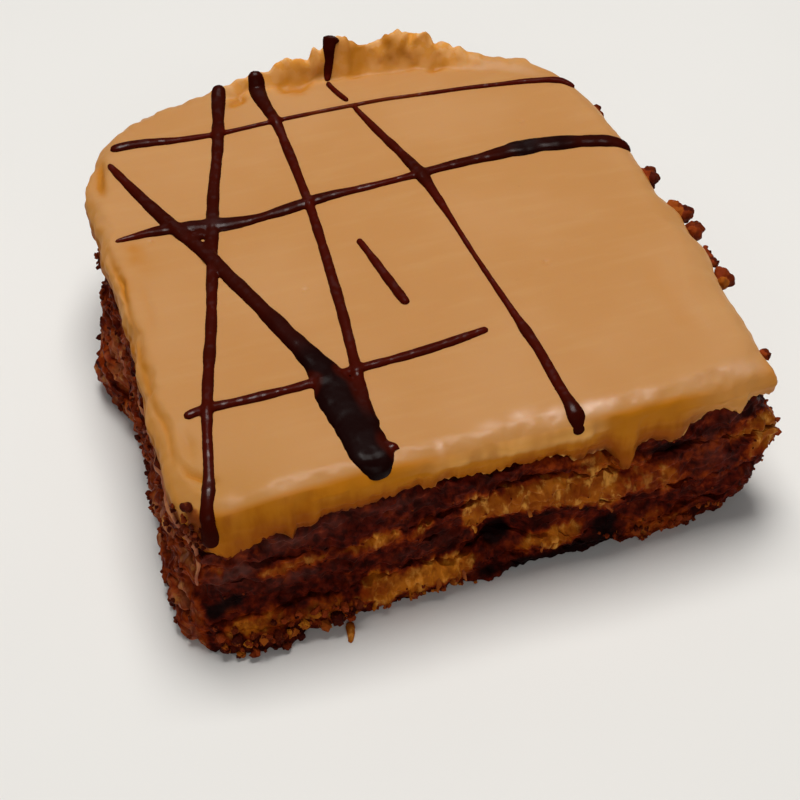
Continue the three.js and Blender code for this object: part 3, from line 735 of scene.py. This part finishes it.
def hollows(piece, rounds):
    """How far each vertex lies below the surface as it would be if smoothed, in millimetres."""
    points = places(piece)
    return ((evened_over(piece, points, rounds) - points) * normals(piece)).sum(1)


def dress(piece, finish, slot, *nodes):
    """Gives a finished piece its material and body, and hides the solids that it stands for. Its slot is not
    used.
    """
    piece.data.materials.clear()
    piece.data.materials.append(finish)
    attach(piece, "root")
    if nodes:
        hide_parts(*nodes)


def outline_normal(angle):
    """Direction straight out of the outline."""
    along = outline_point(angle + 1e-3) - outline_point(angle - 1e-3)
    out = np.stack([along[:, 1], -along[:, 0]], -1)
    return out / np.linalg.norm(out, axis=1)[:, None]


def grains(points, size, seed):
    """Rounded grains of a size in millimetres with creases between them, about -1 to 1."""
    shift = Vector((3.1, 7.7, 1.9)) * seed
    return np.array([1 - 2 * noise.voronoi(Vector(spot) + shift)[0][0] for spot in points / size])


def patches(points, marks):
    """Sum of soft patches, each with its place, spread across and in height, and strength."""
    x, y, z = points.T
    return sum(
        strength * bell(np.hypot(x - i, y - j), 0, wide) * bell(z, k, tall)
        for i, j, k, wide, tall, strength in marks
    )


def dragged(points):
    """Places sheared along the sides, for marks that slant as the knife left them."""
    sheared = points.copy()
    sheared[:, 2] -= KNIFE_SLANT * (points[:, 0] + points[:, 1])
    return sheared


def ragged(piece, side, seed):
    """Tears and crags the side of a layer, and lets it overlap its neighbours a little."""
    points = places(piece)
    angle = np.arctan2(points[:, 1], points[:, 0])
    share = np.hypot(points[:, 0], points[:, 1]) / outline_radius(angle)
    at_side = smoothstep(share, *SIDE_BEGINS)
    low = 1 - smoothstep(points[:, 2], 0, LOOSE_FOOT)
    out = side["crag"] * (1 + low) * relief(points, (4.5, 4.5, 2.6), seed)
    out += side["grain"] * grains(points, 2.3, seed)
    out += side["fine"] * grains(points, 1.0, seed + 1)
    out += side["drag"] * relief(dragged(points), (8, 8, 1.0), seed + 2, 2)
    dented = 0.8 * relief(points, (2.8, 2.8, 3.4), 45) + 0.3 * relief(points, (1.2, 1.2, 4), 46, 2)
    out += left_of(points) * dented
    front = front_of(points)
    combed = relief(points, (1.0, 1.0, 4), 47, 2) + 0.6 * relief(points, 2.6, 48)
    out += front * torn_cream(points) * (0.5 + 0.5 * combed) + 0.3 * front * combed
    tear = relief(points, (2.4, 2.4, 9), TEAR_SEED) + relief(points, (7, 7, 20), TEAR_SEED + 1)
    spread = LAYER_OVERLAP * normals(piece)[:, 2]
    points[:, :2] += outline_normal(angle) * (at_side * out)[:, None]
    points[:, 2] += at_side * (side["tear"] * tear + spread)
    points[:, 2] = np.maximum(points[:, 2], 0)
    put(piece, points)


def layer(node, name, side, seed):
    """A layer from a copy of its solid, with its side finely divided and torn."""
    select_only(frame["nodes"][node])
    bpy.ops.object.duplicate()
    piece = bpy.context.object
    piece.name = name
    del piece["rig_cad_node"]
    bpy.ops.object.mode_set(mode="EDIT")
    bpy.ops.mesh.select_all(action="SELECT")
    bpy.ops.mesh.remove_doubles(threshold=1e-6)
    bpy.ops.mesh.select_mode(type="FACE")
    bpy.ops.mesh.select_all(action="DESELECT")
    bpy.ops.object.mode_set(mode="OBJECT")
    for face in piece.data.polygons:
        face.select = abs(face.normal.z) < SIDE_STEEPNESS
    bpy.ops.object.mode_set(mode="EDIT")
    bpy.ops.mesh.subdivide(number_cuts=SIDE_CUTS)
    bpy.ops.mesh.vertices_smooth(factor=0.5, repeat=10)
    bpy.ops.mesh.faces_shade_smooth()
    bpy.ops.object.mode_set(mode="OBJECT")
    ragged(piece, side, seed)
    mark(piece, hollow=hollows(piece, 12))
    return piece


def front_of(points):
    """How much places belong to the front."""
    return smoothstep(-points[:, 1], *FRONT_BEGINS) * (1 - smoothstep(-points[:, 0], *CORNER_ENDS))


def left_of(points):
    """How much places belong to the left side."""
    return smoothstep(-points[:, 0], *LEFT_BEGINS)


def on_plane(points):
    """Places of the marks on the front plane that points of the crags behind it show."""
    back = points[:, 1] - FRONT_PLANE
    return points[:, 0] - MARK_SHIFT[0] * back, points[:, 2] + MARK_SHIFT[1] * back


def shown(x, z):
    """How much cream shows at places on the front."""
    most = np.zeros(len(x))
    for band in CREAM_SHOWN:
        along, low, high, cover = np.array(band).T
        low, high = np.interp(x, along, low), np.interp(x, along, high)
        inside = smoothstep(z, low - SHOWN_EDGE, low + SHOWN_EDGE)
        inside = inside * (1 - smoothstep(z, high - SHOWN_EDGE, high + SHOWN_EDGE))
        most = np.maximum(most, np.interp(x, along, cover) * inside)
    return most


def torn_cream(points):
    """How much cream shows on the front, with edges torn into upright teeth."""
    x, z = on_plane(points)
    flat = np.stack([x, 0 * x, z], -1)
    teeth = 1.0 * relief(flat, (0.9, 1, 5), 52, 2) + 0.5 * relief(flat, 2.4, 53)
    return shown(x + 0.6 * relief(flat, 2.4, 54), z + teeth)


def front_patches(points, marks):
    """Sum of soft patches on the front, each with its place, spread along and up, and strength."""
    return oval_spots(*on_plane(points), marks) * front_of(points)


def colour_layer(piece, cream):
    """Marks where cream covers a layer's side, where it is pale, and where painted shade (with some dark
    spots), light or sheen goes.
    """
    points = places(piece)
    front = front_of(points)
    left = left_of(points) * (1 - front)
    stained = relief(points, (6, 6, 4), 51)
    aside = cream * (0.85 - 0.45 * left) + (1 - cream) * (0.12 + 0.2 * left) + 0.5 * stained
    streaks = smoothstep(relief(points, (1.6, 1.6, 8), 55), 0.0, 0.5)
    mark(
        piece,
        cream=front * torn_cream(points) + (1 - front) * aside,
        deep=front_patches(points, DARK_AND_SHADED_PLACES),
        sheen=front_patches(points, SHEEN_PLACES),
        bright=front_patches(points, PAINTED_LIGHT_PLACES),
        pale=left * (0.25 + 0.5 * streaks),
    )


def cake_layers():
    """Every layer from its solid. Layers of one kind share a finish."""
    biscuit, cream = cake_finish("soaked_biscuit", 0.0), cake_finish("caramel_cream", 0.1)
    made = []
    for seed, place in enumerate(("bottom", "middle", "top")):
        piece = layer("biscuit_" + place, place + "_biscuit", BISCUIT_SIDE, 20 + seed)
        colour_layer(piece, 0)
        dress(piece, biscuit, "chocolate_biscuit", "biscuit_" + place)
        made.append(piece)
    for seed, place in enumerate(("lower", "upper")):
        piece = layer("cream_" + place, place + "_cream", CREAM_SIDE, 30 + seed)
        colour_layer(piece, 1)
        dress(piece, cream, "caramel_cream", "cream_" + place)
        made.append(piece)
    return made


def rim_angles(u, v):
    """Angles on the outline for places on a square grid, with even steps along each of the four sides."""
    reaches = ((-1, -FRONT_REACH), (1, -FRONT_REACH), (1, BACK_REACH), (-1, BACK_REACH), (-1, -FRONT_REACH))
    corners = np.unwrap([math.atan2(reach, side * HALF_WIDTH) for side, reach in reaches])
    rings = np.maximum(np.maximum(np.abs(u), np.abs(v)), 1e-9)
    u, v = u / rings, v / rings
    edges = np.stack([np.abs(v + 1), np.abs(u - 1), np.abs(v - 1), np.abs(u + 1)])
    shares = np.stack([u + 1, v + 1, 1 - u, 1 - v]) / 2
    side = edges.argmin(0)
    angle = np.empty_like(u)
    for k in range(4):
        sweep = np.linspace(corners[k], corners[k + 1], 500)
        length = lengths(outline_point(sweep))
        here = side == k
        angle[here] = np.interp(shares[k][here], length / length[-1], sweep)
    return rings, np.mod(angle + math.pi, 2 * math.pi) - math.pi


def icing_foot(angle):
    """Height of the icing's lower edge round the slice, read from the solid."""
    solid = places(frame["nodes"]["caramel_icing"])
    around = np.arctan2(solid[:, 1], solid[:, 0])
    share = np.hypot(solid[:, 0], solid[:, 1]) / outline_radius(around)
    bins = np.linspace(-math.pi, math.pi, FOOT_STEPS + 1)
    lowest = []
    for low, high in zip(bins[:-1], bins[1:]):
        near = (around >= low - 0.02) & (around < high + 0.02) & (share > 0.93)
        lowest.append(solid[near, 2].min())
    middles = (bins[:-1] + bins[1:]) / 2
    return np.interp(angle, middles, lowest, period=2 * math.pi)


def icing_sheet():
    """A flat sheet with bands of faces hung from its edge, closed underneath."""
    bpy.ops.object.select_all(action="DESELECT")
    bpy.ops.mesh.primitive_grid_add(x_subdivisions=ICING_GRID, y_subdivisions=ICING_GRID, size=2)
    piece = bpy.context.object
    piece.name = "icing"
    bpy.ops.object.mode_set(mode="EDIT")
    bpy.ops.mesh.select_all(action="SELECT")
    bpy.ops.mesh.region_to_loop()
    for _ in range(ICING_BANDS):
        bpy.ops.mesh.extrude_region_move(TRANSFORM_OT_translate={"value": (0, 0, -1)})
    bpy.ops.mesh.extrude_region_move()
    bpy.ops.mesh.merge(type="CENTER")
    bpy.ops.mesh.select_all(action="SELECT")
    bpy.ops.mesh.normals_make_consistent(inside=False)
    bpy.ops.mesh.faces_shade_smooth()
    bpy.ops.object.mode_set(mode="OBJECT")
    return piece


def laid_skin(piece):
    """Places of the sheet laid over the slice and down its side to the hem."""
    u, v, depth = vectors(piece, "co").T
    rings, angle = rim_angles(u, v)
    share = rings * (1.25 - 0.25 * rings)
    up = 1 + depth / ICING_BANDS
    direction = np.stack([np.cos(angle), np.sin(angle)], -1)
    plan = outline_point(angle) * share[:, None]
    top = icing_top(plan[:, 0], plan[:, 1])
    out = np.interp(up, *zip(*ICING_SIDE_OUT)) * (depth < 0)
    out = out + round_spots(plan[:, 0], plan[:, 1], ICING_BULGES) * smoothstep(share, 0.93, 1)
    plan = plan + direction * (out * (share > 0.5))[:, None]
    foot = icing_foot(angle)
    line = np.interp(plan[:, 0], *zip(*HEM_LINE)) - HEM_BACK * MARK_SHIFT[1]
    line = np.clip(line, foot - HEM_RANGE["down"], foot + HEM_RANGE["up"])
    at_front = smoothstep(-plan[:, 1], 0.96 * FRONT_REACH, 0.99 * FRONT_REACH)
    plan[:, 1] -= HEM_HANG * at_front * (1 - up) * smoothstep(foot - line, 0.2, 2)
    foot = foot + at_front * (line - foot)
    points = np.column_stack([plan, foot * (1 - up) + top * up])
    return SimpleNamespace(points=points, share=share, up=up, direction=direction)


def fold_skin(skin):
    """Folds and pleats the icing's edge and ridge, and makes its hem uneven."""
    points, share, up = skin.points, skin.share, skin.up
    x = points[:, 0]
    edge = smoothstep(share, 0.86, 1)
    front = smoothstep(-points[:, 1], 0.85 * FRONT_REACH, 0.97 * FRONT_REACH)
    left = smoothstep(-x, 38, 45) * (1 - front)
    back = smoothstep(points[:, 1], 36, 48)
    ruffled = edge * (0.3 + 0.5 * left + 0.7 * back) * (1 - 0.6 * front)
    folds = relief(points, (5, 6, 7), 1)
    small = relief(points, (2.2, 2.4, 2.4), 2, 2)
    ledges = relief(points, (16, 16, 2.2), 5, 2)
    crest = back * smoothstep(share, 0.89, 0.96) * smoothstep(crest_height(x), 0, 4)
    torn = crest * smoothstep(x, 4, 12)
    fingers = relief(points @ FINGER_TURN, (1.6, 6, 3), 6, 2)
    at_side = share > 0.99
    beads = smoothstep(relief(points * (1, 1, 0.25), (2.6, 2.6, 2.6), 8, 2), -0.35, 0.5)
    beaded = at_side * front * bell(up, 0.88, 0.14) * beads
    groove = at_side * front * bell(up, 0.26, 0.16)
    sideways = ruffled * (0.9 * folds + 0.4 * small) + edge * front * 0.35 * ledges + 0.6 * torn * small
    sideways += 0.35 * beaded - 0.15 * groove
    points[:, :2] += skin.direction * sideways[:, None]
    rim = front * bell(share, 0.97, 0.04) * (1 + 2 * bell(x, WORN_EDGE["x"], WORN_EDGE["spread"]))
    wavy = relief(points * (1, 1, 0), 4.5, 9, 2)
    pleats = relief(points @ FINGER_TURN, (1.2, 4, 2.4), 10, 2)
    bumps = crest * (0.5 * folds + 0.3 * pleats) + torn * (0.45 * small + 0.35 * fingers)
    bumps += rim * (0.15 * small + 0.4 * wavy)
    points[:, 2] += up * (ruffled * 0.3 * folds + bumps)
    hem = (1.1 - 0.8 * front) * relief(points * (1, 1, 0), (3.2, 3.2, 1), 3)
    hem += 0.8 * front * relief(points * (1, 1, 0), 0.9, 7, 2)
    points[:, 2] += (1 - up) * at_side * hem
    skin.edge, skin.front, skin.left, skin.at_side, skin.hem = edge, front, left, at_side, hem
    skin.crest, skin.torn, skin.fingers, skin.beaded = crest, torn, fingers, beaded
    skin.small, skin.wavy = small, wavy


def mark_icing(piece, skin):
    """Marks where the icing is cut, low, tan, rubbed with crumb or shiny, and where shade and light are
    painted.
    """
    x, y, _ = skin.points.T
    up, front, at_side = skin.up, skin.front, skin.at_side
    thin = 0.9 * front * bell(x, 40, 6)
    runny = smoothstep(x, -16, 2) * smoothstep(-x, -19, -14) * front
    rim_cut = front * (1 - runny) * smoothstep(skin.share, 0.974, 0.994)
    cut = np.maximum(smoothstep(1 - up, 0.02 + 0.1 * runny, 0.16 + 0.2 * runny) * at_side, rim_cut)
    lower = (1 - up) * (1 - 0.35 * bell(x, -2, 8) - 0.3 * smoothstep(-x, 32, 38))
    # Creases, the ridge's folds and listed hollows get painted amber shade.
    creased = np.clip(crease_depths(x, y), 0, 1).sum(0)
    amber_shade_spots = oval_spots(x, y, AMBER_SHADE_PLACES) * (0.7 + 0.6 * skin.small)
    tips = at_side * smoothstep(1 - up, 0.84, 0.98) * smoothstep(skin.hem, -0.1, -0.5)
    lights = [(i, j, reach, RIM_LIGHT_DEPTH, strength) for i, j, reach, strength in RIM_LIGHTS]
    lit = np.clip(oval_spots(x, y, lights), 0, 1)
    shine = lit * (0.5 + 0.5 * smoothstep(skin.small + skin.wavy, -0.5, 0.4))
    corner = smoothstep(-x, 18, 42) * smoothstep(-y, 12, 38)
    bright = (1 - 0.9 * skin.left * skin.edge) * (1 - 0.8 * skin.crest) * (1 - 0.8 * corner)
    mark(
        piece,
        cut=cut * (1 - thin),
        low=(lower + 0.3 * up * smoothstep(-x, 16, 30)) * at_side,
        warm=creased + 0.5 * skin.torn * skin.fingers + amber_shade_spots,
        tan=np.maximum(runny * skin.beaded, tips * smoothstep(x, -16, 2)),
        # the ridge is painted lighter, as if its shaded front slope were lit
        ridge=skin.crest,
        crumbed=patches(skin.points, ICING_CRUMBED),
        shine=shine,
        corner=corner,
        gloss=(0.2 + 0.4 * shine) * bright,
        # faces tilted away from the light get a warmer painted shade
        tilt=1 - smoothstep(normals(piece)[:, 2], 0.35, 0.97),
        hollow=hollows(piece, 40),
    )


def icing():
    piece = icing_sheet()
    skin = laid_skin(piece)
    fold_skin(skin)
    put(piece, skin.points)
    mark_icing(piece, skin)
    dress(piece, caramel_finish(), "caramel_icing", "caramel_icing")
    return piece


def smoothed(values, reach):
    """Values along a way, evened out over a number of steps to each side."""
    window = np.hanning(2 * reach + 3)
    padded = np.pad(values, ((reach + 1, reach + 1), (0, 0)), mode="edge")
    return np.stack([np.convolve(column, window / window.sum(), "valid") for column in padded.T], -1)


def paced(corners, step):
    """Rows at even steps along a way, from the rows at its corners: the place and, last, the width."""
    rows = np.array(corners, float)
    length = lengths(rows[:, :-1])
    steps = np.linspace(0, length[-1], max(int(length[-1] / step), 4))
    return np.stack([np.interp(steps, length, column) for column in rows.T], -1)


def stroke_way(corners, drop, seed):
    """Places along a stroke on the icing and its width there."""
    way = paced(corners, DRIZZLE_STEP)
    x, y, width = smoothed(way, min(5, len(way) // 4)).T
    wobble = relief(np.stack([x, y, 0 * x], -1), 4, seed)
    spots = np.column_stack([x, y, icing_top(x, y)])
    width = width * (1 + 0.22 * wobble) + MELT_LOSS
    if drop:
        last = spots[-1]
        out = np.array((0, -1, 0) if last[1] < -0.9 * FRONT_REACH else (1, 0, 0))
        shoulder = last + DRIP_STAND * out - (0, 0, DRIP_SHOULDER)
        steps = np.linspace(0, 1, max(int((drop + 1) / DRIZZLE_STEP), 3))[:, None]
        hang = shoulder - steps * (0, 0, drop)
        bead = width[-1] * (0.85 + 0.25 * np.sin(np.linspace(0, math.pi, len(hang))))
        spots = smoothed(np.concatenate([spots, hang]), 2)
        width = np.concatenate([width, bead])
    return spots, width


def tube(way, width, rise):
    """A grid rolled into a flat tube along a way, with round ends."""
    tangent = np.gradient(way, axis=0)
    tangent /= np.linalg.norm(tangent, axis=1)[:, None]
    level = np.hypot(tangent[:, 0], tangent[:, 1])
    side = np.column_stack([tangent[:, 1], -tangent[:, 0], 0 * level])
    for i in range(1, len(side)):
        if level[i] < 0.5:
            side[i] = side[i - 1]
    side /= np.linalg.norm(side, axis=1)[:, None]
    up = np.cross(side, tangent)
    length = lengths(way)
    ends = np.minimum(length, length[-1] - length)
    close = np.sqrt(1 - (1 - np.minimum(ends / (0.5 * width), 1)) ** 2)
    bpy.ops.object.select_all(action="DESELECT")
    bpy.ops.mesh.primitive_grid_add(x_subdivisions=DRIZZLE_SIDES, y_subdivisions=len(way) - 1, size=2)
    piece = bpy.context.object
    turn = np.linspace(0, 2 * math.pi, DRIZZLE_SIDES + 1)
    across = side[:, None, :] * (close * width / 2)[:, None, None] * np.cos(turn)[None, :, None]
    raised = up[:, None, :] * (close * rise)[:, None, None] * np.sin(turn)[None, :, None]
    put(piece, (way[:, None, :] + across + raised).reshape(-1, 3))
    bpy.ops.object.mode_set(mode="EDIT")
    bpy.ops.mesh.select_all(action="SELECT")
    bpy.ops.mesh.remove_doubles(threshold=1e-6)
    bpy.ops.mesh.normals_make_consistent(inside=False)
    bpy.ops.object.mode_set(mode="OBJECT")
    return piece


def stroke(corners, drop, seed, laid):
    """A stroke of chocolate, raised where it crosses others."""
    way, width = stroke_way(corners, drop, seed)
    if laid:
        earlier = np.concatenate(laid)
        gap = np.linalg.norm(way[:, None, :] - earlier[None, :, :], axis=2).min(1)
        way[:, 2] += CROSSING["rise"] * bell(gap, 0, CROSSING["reach"])
    laid.append(way)
    rise = np.minimum(STROKE_RISE["least"] + STROKE_RISE["for_width"] * width, STROKE_RISE["most"])
    return tube(way, width, rise), way, width


def nearest_of(piece, spots, values):
    """For each vertex of a piece, the value of the nearest of some spots."""
    tree = kdtree.KDTree(len(spots))
    for index, spot in enumerate(spots):
        tree.insert(spot, index)
    tree.balance()
    return np.asarray(values)[[tree.find(spot)[1] for spot in places(piece)]]


def drizzle():
    laid = []
    strokes = [stroke(corners, drop, seed, laid) for seed, (corners, drop) in enumerate(DRIZZLE, 11)]
    pieces, ways, widths = zip(*strokes)
    piece = joined(pieces, "drizzle")
    melt(piece, DRIZZLE_VOXEL, 6)
    width = nearest_of(piece, np.concatenate(ways), np.concatenate(widths))[:, None]
    thin, full = STROKE_LOOKS
    thick = evened_over(piece, np.clip((width - thin) / (full - thin), 0, 1), 40)[:, 0]
    points = places(piece)
    put(piece, points + normals(piece) * (0.12 * thick * relief(points, 3, 33, 2))[:, None])
    level = smoothstep(normals(piece)[:, 2], 0.5, 0.9)
    patchy = 0.4 + 0.6 * smoothstep(relief(points, 3, 34), -0.2, 0.4)
    wet = round_spots(points[:, 0], points[:, 1], WET_PLACES)
    glints = 0.3 * level * smoothstep(relief(points, 1.1, 35, 2), 0.12, 0.4)
    glints *= 1 - smoothstep(thick, 0.25, 0.6)
    gloss = np.clip((level * (0.04 + 0.1 * thick) + wet) * patchy + glints, 0, 1)
    mark(piece, thickness=thick, gloss=gloss)
    dress(piece, drizzle_finish(), "chocolate_drizzle", "caramel_icing")


def lump_form(rounds):
    """Corners and faces of a round lump, to be squashed, stretched and turned."""
    bpy.ops.object.select_all(action="DESELECT")
    bpy.ops.mesh.primitive_ico_sphere_add(subdivisions=rounds, radius=1)
    ball = bpy.context.object
    corners = np.array([corner.co for corner in ball.data.vertices])
    faces = np.array([face.vertices for face in ball.data.polygons])
    bpy.data.objects.remove(ball)
    return corners, faces


def lumps(name, points, faces):
    """One mesh of many lumps, from the corners of each and the faces that all share."""
    count, each = points.shape[:2]
    numbered = faces[None] + each * np.arange(count)[:, None, None]
    mesh = bpy.data.meshes.new(name)
    mesh.from_pydata(np.zeros((count * each, 3)), [], numbered.reshape(-1, 3))
    piece = bpy.data.objects.new(name, mesh)
    bpy.context.scene.collection.objects.link(piece)
    put(piece, points.reshape(-1, 3))
    return piece


def turned(draw, count):
    """Random rotation matrices."""
    q = draw.normal(size=(count, 4))
    w, x, y, z = (q / np.linalg.norm(q, axis=1)[:, None]).T
    rows = [
        [1 - 2 * (y * y + z * z), 2 * (x * y - z * w), 2 * (x * z + y * w)],
        [2 * (x * y + z * w), 1 - 2 * (x * x + z * z), 2 * (y * z - x * w)],
        [2 * (x * z - y * w), 2 * (y * z + x * w), 1 - 2 * (x * x + y * y)],
    ]
    return np.moveaxis(np.array(rows), 2, 0)


def sides_of(layers):
    """The sides of the layers as a tree, to find the surface near a place."""
    corners, faces, first = [], [], 0
    for piece in layers:
        piece.data.calc_loop_triangles()
        flat = np.empty(len(piece.data.loop_triangles) * 3, np.int64)
        piece.data.loop_triangles.foreach_get("vertices", flat)
        corners.append(places(piece))
        faces.append(flat.reshape(-1, 3) + first)
        first += len(corners[-1])
    corners, faces = np.concatenate(corners), np.concatenate(faces)
    # Extruded faces come in another order each run. Sorted by place, they always make the same tree.
    order = np.lexsort(corners[faces].reshape(-1, 9).T)
    return BVHTree.FromPolygons(corners.tolist(), faces[order].tolist())


def strewn(sides, start, end, low, high, count, draw):
    """Random places on the sides near a stretch of the plan, with the direction out of the surface."""
    plan = np.array(start) + draw.uniform(0, 1, (count, 1)) * (np.array(end) - start)
    heights = draw.uniform(low, high, count)
    found = [sides.find_nearest((*spot, z)) for spot, z in zip(plan, heights)]
    return np.array([place for place, _, _, _ in found]), np.array([facing for _, facing, _, _ in found])


def flat_lumps(centres, facing, size, slant, draw, corners):
    """Corners of flat lumps pressed on the sides, each long in the direction of its slant in degrees."""
    count = len(size)
    turn = np.radians(slant + draw.normal(0, 12, count))[:, None]
    level = np.column_stack([-facing[:, 1], facing[:, 0], 0 * size])
    level /= np.linalg.norm(level, axis=1)[:, None] + 1e-6
    rise = np.cross(facing, level)
    long = level * np.cos(turn) + rise * np.sin(turn)
    tall = rise * np.cos(turn) - level * np.sin(turn)
    axes = np.stack([
        long * (size * draw.uniform(1.3, 2.4, count))[:, None],
        tall * (size * draw.uniform(0.6, 0.9, count))[:, None],
        facing * (size * draw.uniform(0.3, 0.45, count))[:, None],
    ], 1)
    points = centres[:, None, :] + np.einsum("kj,nji->nki", corners, axes)
    wave = 0.6 * relief(points.reshape(-1, 3), 1.3, 61, 2).reshape(points.shape[:2])
    return points + (points - centres[:, None, :]) * wave[:, :, None]


def on_front(sides, x, z):
    """Places on the front that marks on the plane before it lie on, with the way out of the surface."""
    aim = Vector((MARK_SHIFT[0], 1, -MARK_SHIFT[1]))
    found = [sides.ray_cast(Vector((i, FRONT_PLANE, k)) - 20 * aim, aim) for i, k in zip(x, z)]
    met = [(place, facing) for place, facing, _, _ in found if place]
    return np.array([place for place, _ in met]), np.array([facing for _, facing in met])


def smear_lumps(sides, draw):
    """Flat lumps of cream on the sides, with how pale each is."""
    corners, faces = lump_form(2)
    groups = []
    for start, end, low, high, count, least, most, slant, pale in SMEARED:
        groups.append((*strewn(sides, start, end, low, high, count, draw), least, most, slant, pale))
    groups.append((*on_front(sides, *np.array(TORN_TIPS).T), *TIP_LOOK))
    shaped, spots, pales = [], [], []
    for centres, facing, least, most, slant, pale in groups:
        size = least + (most - least) * draw.beta(1.2, 2.2, len(centres))
        shaped.append(flat_lumps(centres, facing, size, slant, draw, corners))
        spots.append(centres)
        pales.append(np.clip(pale + draw.normal(0, 0.1, len(centres)), 0, 1))
    return lumps("smears", np.concatenate(shaped), faces), np.concatenate(spots), np.concatenate(pales)


def cream_smears(sides):
    draw = np.random.default_rng(9)
    piece, spots, pales = smear_lumps(sides, draw)
    bead, sauce = (smoothed(paced(corners, RUN_STEP), 5) for corners in (SIDE_BEAD, SAUCE_RUN))
    for reach in (12, 2):
        for spot in bead:
            place, facing, _, _ = sides.find_nearest(spot[:3])
            spot[:3] = place + BEAD_STAND * facing
        bead = smoothed(bead, reach)
    bead[:, 3] *= 1 + 0.3 * relief(bead[:, :3], 2.5, 71)
    runs = [tube(run[:, :3], run[:, 3], rise * run[:, 3]) for run, rise in ((bead, 0.5), (sauce, 0.2))]
    piece = joined([piece, *runs], "cream_smears")
    melt(piece, SMEAR_VOXEL, 8)
    points = places(piece)
    points[:, 2] = np.maximum(points[:, 2], 0)
    put(piece, points)
    spots = np.concatenate([spots, bead[:, :3], sauce[:, :3]])
    pales = np.concatenate([pales, np.full(len(bead), 0.6), np.full(len(sauce), 0.0)])
    covered = np.full(len(points), 0.95)
    mark(piece, pale=nearest_of(piece, spots, pales), cream=covered, hollow=hollows(piece, 12))
    dress(piece, cake_finish("smeared_cream", 0.1), "caramel_cream")


def uneven(corners, count, rough, squash, draw):
    """Corners of many lumps, each roughened and squashed at random."""
    return corners * draw.uniform(*rough, (count, len(corners), 1)) * draw.uniform(*squash, (count, 1, 3))


def loose_crumbs(sides):
    draw = np.random.default_rng(4)
    corners, faces = lump_form(1)
    groups = []
    for start, end, low, high, count, least, most, dark, light in CRUMBED:
        centres, facing = strewn(sides, start, end, low, high, count, draw)
        size = least + (most - least) * draw.beta(1.1, 3.5, count)
        centres += facing * (size * 0.25)[:, None]
        groups.append((centres, size, draw.uniform(dark, light, count)))
    spots, sizes, shades = (np.concatenate(rows) for rows in zip(*groups))
    spots[:, 2] = np.maximum(spots[:, 2], sizes * 0.8)
    rough = uneven(corners, len(spots), (0.65, 1.3), (0.6, 1.2), draw)
    shaped = np.einsum("nij,nkj->nki", turned(draw, len(spots)), rough)
    piece = lumps("loose_crumbs", spots[:, None, :] + shaped * sizes[:, None, None], faces)
    mark(piece, shade=np.repeat(shades, len(corners)))
    dress(piece, crumb_finish(), "chocolate_biscuit")


def edge_crumbs():
    """Craggy crumbs stuck to the icing, each a clump of smaller lumps."""
    draw = np.random.default_rng(12)
    corners, faces = lump_form(2)
    count = CLUMP_LUMPS
    clumps = []
    for x, y, z, radius, long, caramel in EDGE_CRUMBS:
        offsets = draw.uniform(-0.62, 0.62, (count, 3)) * (0.9, long, 0.75) * radius
        offsets[0] = 0
        size = radius * draw.uniform(0.5, 0.75, count)
        centres = offsets + (x, y, z)
        grown = uneven(corners, count, (0.75, 1.25), (0.7, 1.2), draw) * size[:, None, None]
        near = smoothstep(-offsets[:, 0] * np.sign(x), -0.5 * radius, 0.5 * radius)
        shade = np.clip(caramel * (0.4 + 1.2 * near) + draw.normal(0, 0.1, count), 0.05, 1)
        clumps.append((centres[:, None, :] + grown, centres, shade))
    shaped, spots, shades = (np.concatenate(rows) for rows in zip(*clumps))
    piece = lumps("edge_crumbs", shaped, faces)
    melt(piece, CLUMP_VOXEL, 5)
    mark(piece, shade=nearest_of(piece, spots, shades))
    dress(piece, crumb_finish(), "chocolate_biscuit", "caramel_icing")


def stage():
    bpy.ops.object.select_all(action="DESELECT")
    bpy.ops.mesh.primitive_plane_add(size=FLOOR_SIZE, location=(0, 0, -FLOOR_GAP))
    floor = bpy.context.object
    floor.name = "floor"
    made = Finish("pale_floor", Roughness=0.7)
    tone = made.laid("e4e3e0", (made.noise(60, 2), "e8e7e4"))
    floor.data.materials.append(made.wear(Base_Color=tone))


def soft_light(name, place, size, watts, tint):
    bpy.ops.object.light_add(type="AREA", location=place)
    light = bpy.context.object
    light.name = name
    light.data.shape = "RECTANGLE"
    light.data.size, light.data.size_y = size
    light.data.energy = watts
    light.data.color = tint
    light.rotation_euler = (Vector(place) - Vector(LIGHT_AIM)).to_track_quat("Z", "Y").to_euler()


def lighting():
    for light in LIGHTS:
        soft_light(*light)
    world = bpy.data.worlds.new("soft_room")
    world.use_nodes = True
    room = world.node_tree.nodes["Background"].inputs
    room["Color"].default_value = (0.95, 0.97, 1.0, 1)
    room["Strength"].default_value = ROOM_LIGHT
    bpy.context.scene.world = world
    bpy.context.scene.view_settings.view_transform = "Standard"


def camera():
    turn = Matrix.Rotation(math.radians(CAMERA_AZIMUTH), 4, "Z")
    tilt = Matrix.Rotation(math.radians(90 - CAMERA_ELEVATION), 4, "X")
    roll = Matrix.Rotation(math.radians(CAMERA_ROLL), 4, "Z")
    facing = turn @ tilt @ roll
    bpy.ops.object.camera_add()
    eye = bpy.context.object
    eye.data.lens = CAMERA_LENS
    eye.data.sensor_width = CAMERA_SENSOR
    aim = (Vector(CAMERA_AIM) + Vector((*PLAN_CENTRE, 0))) * MM
    eye.matrix_world = Matrix.Translation(aim + facing.col[2].to_3d() * CAMERA_DISTANCE * MM) @ facing
    bpy.context.scene.camera = eye


sides = sides_of([*cake_layers(), icing()])
drizzle()
cream_smears(sides)
edge_crumbs()
loose_crumbs(sides)
stage()
lighting()
camera()
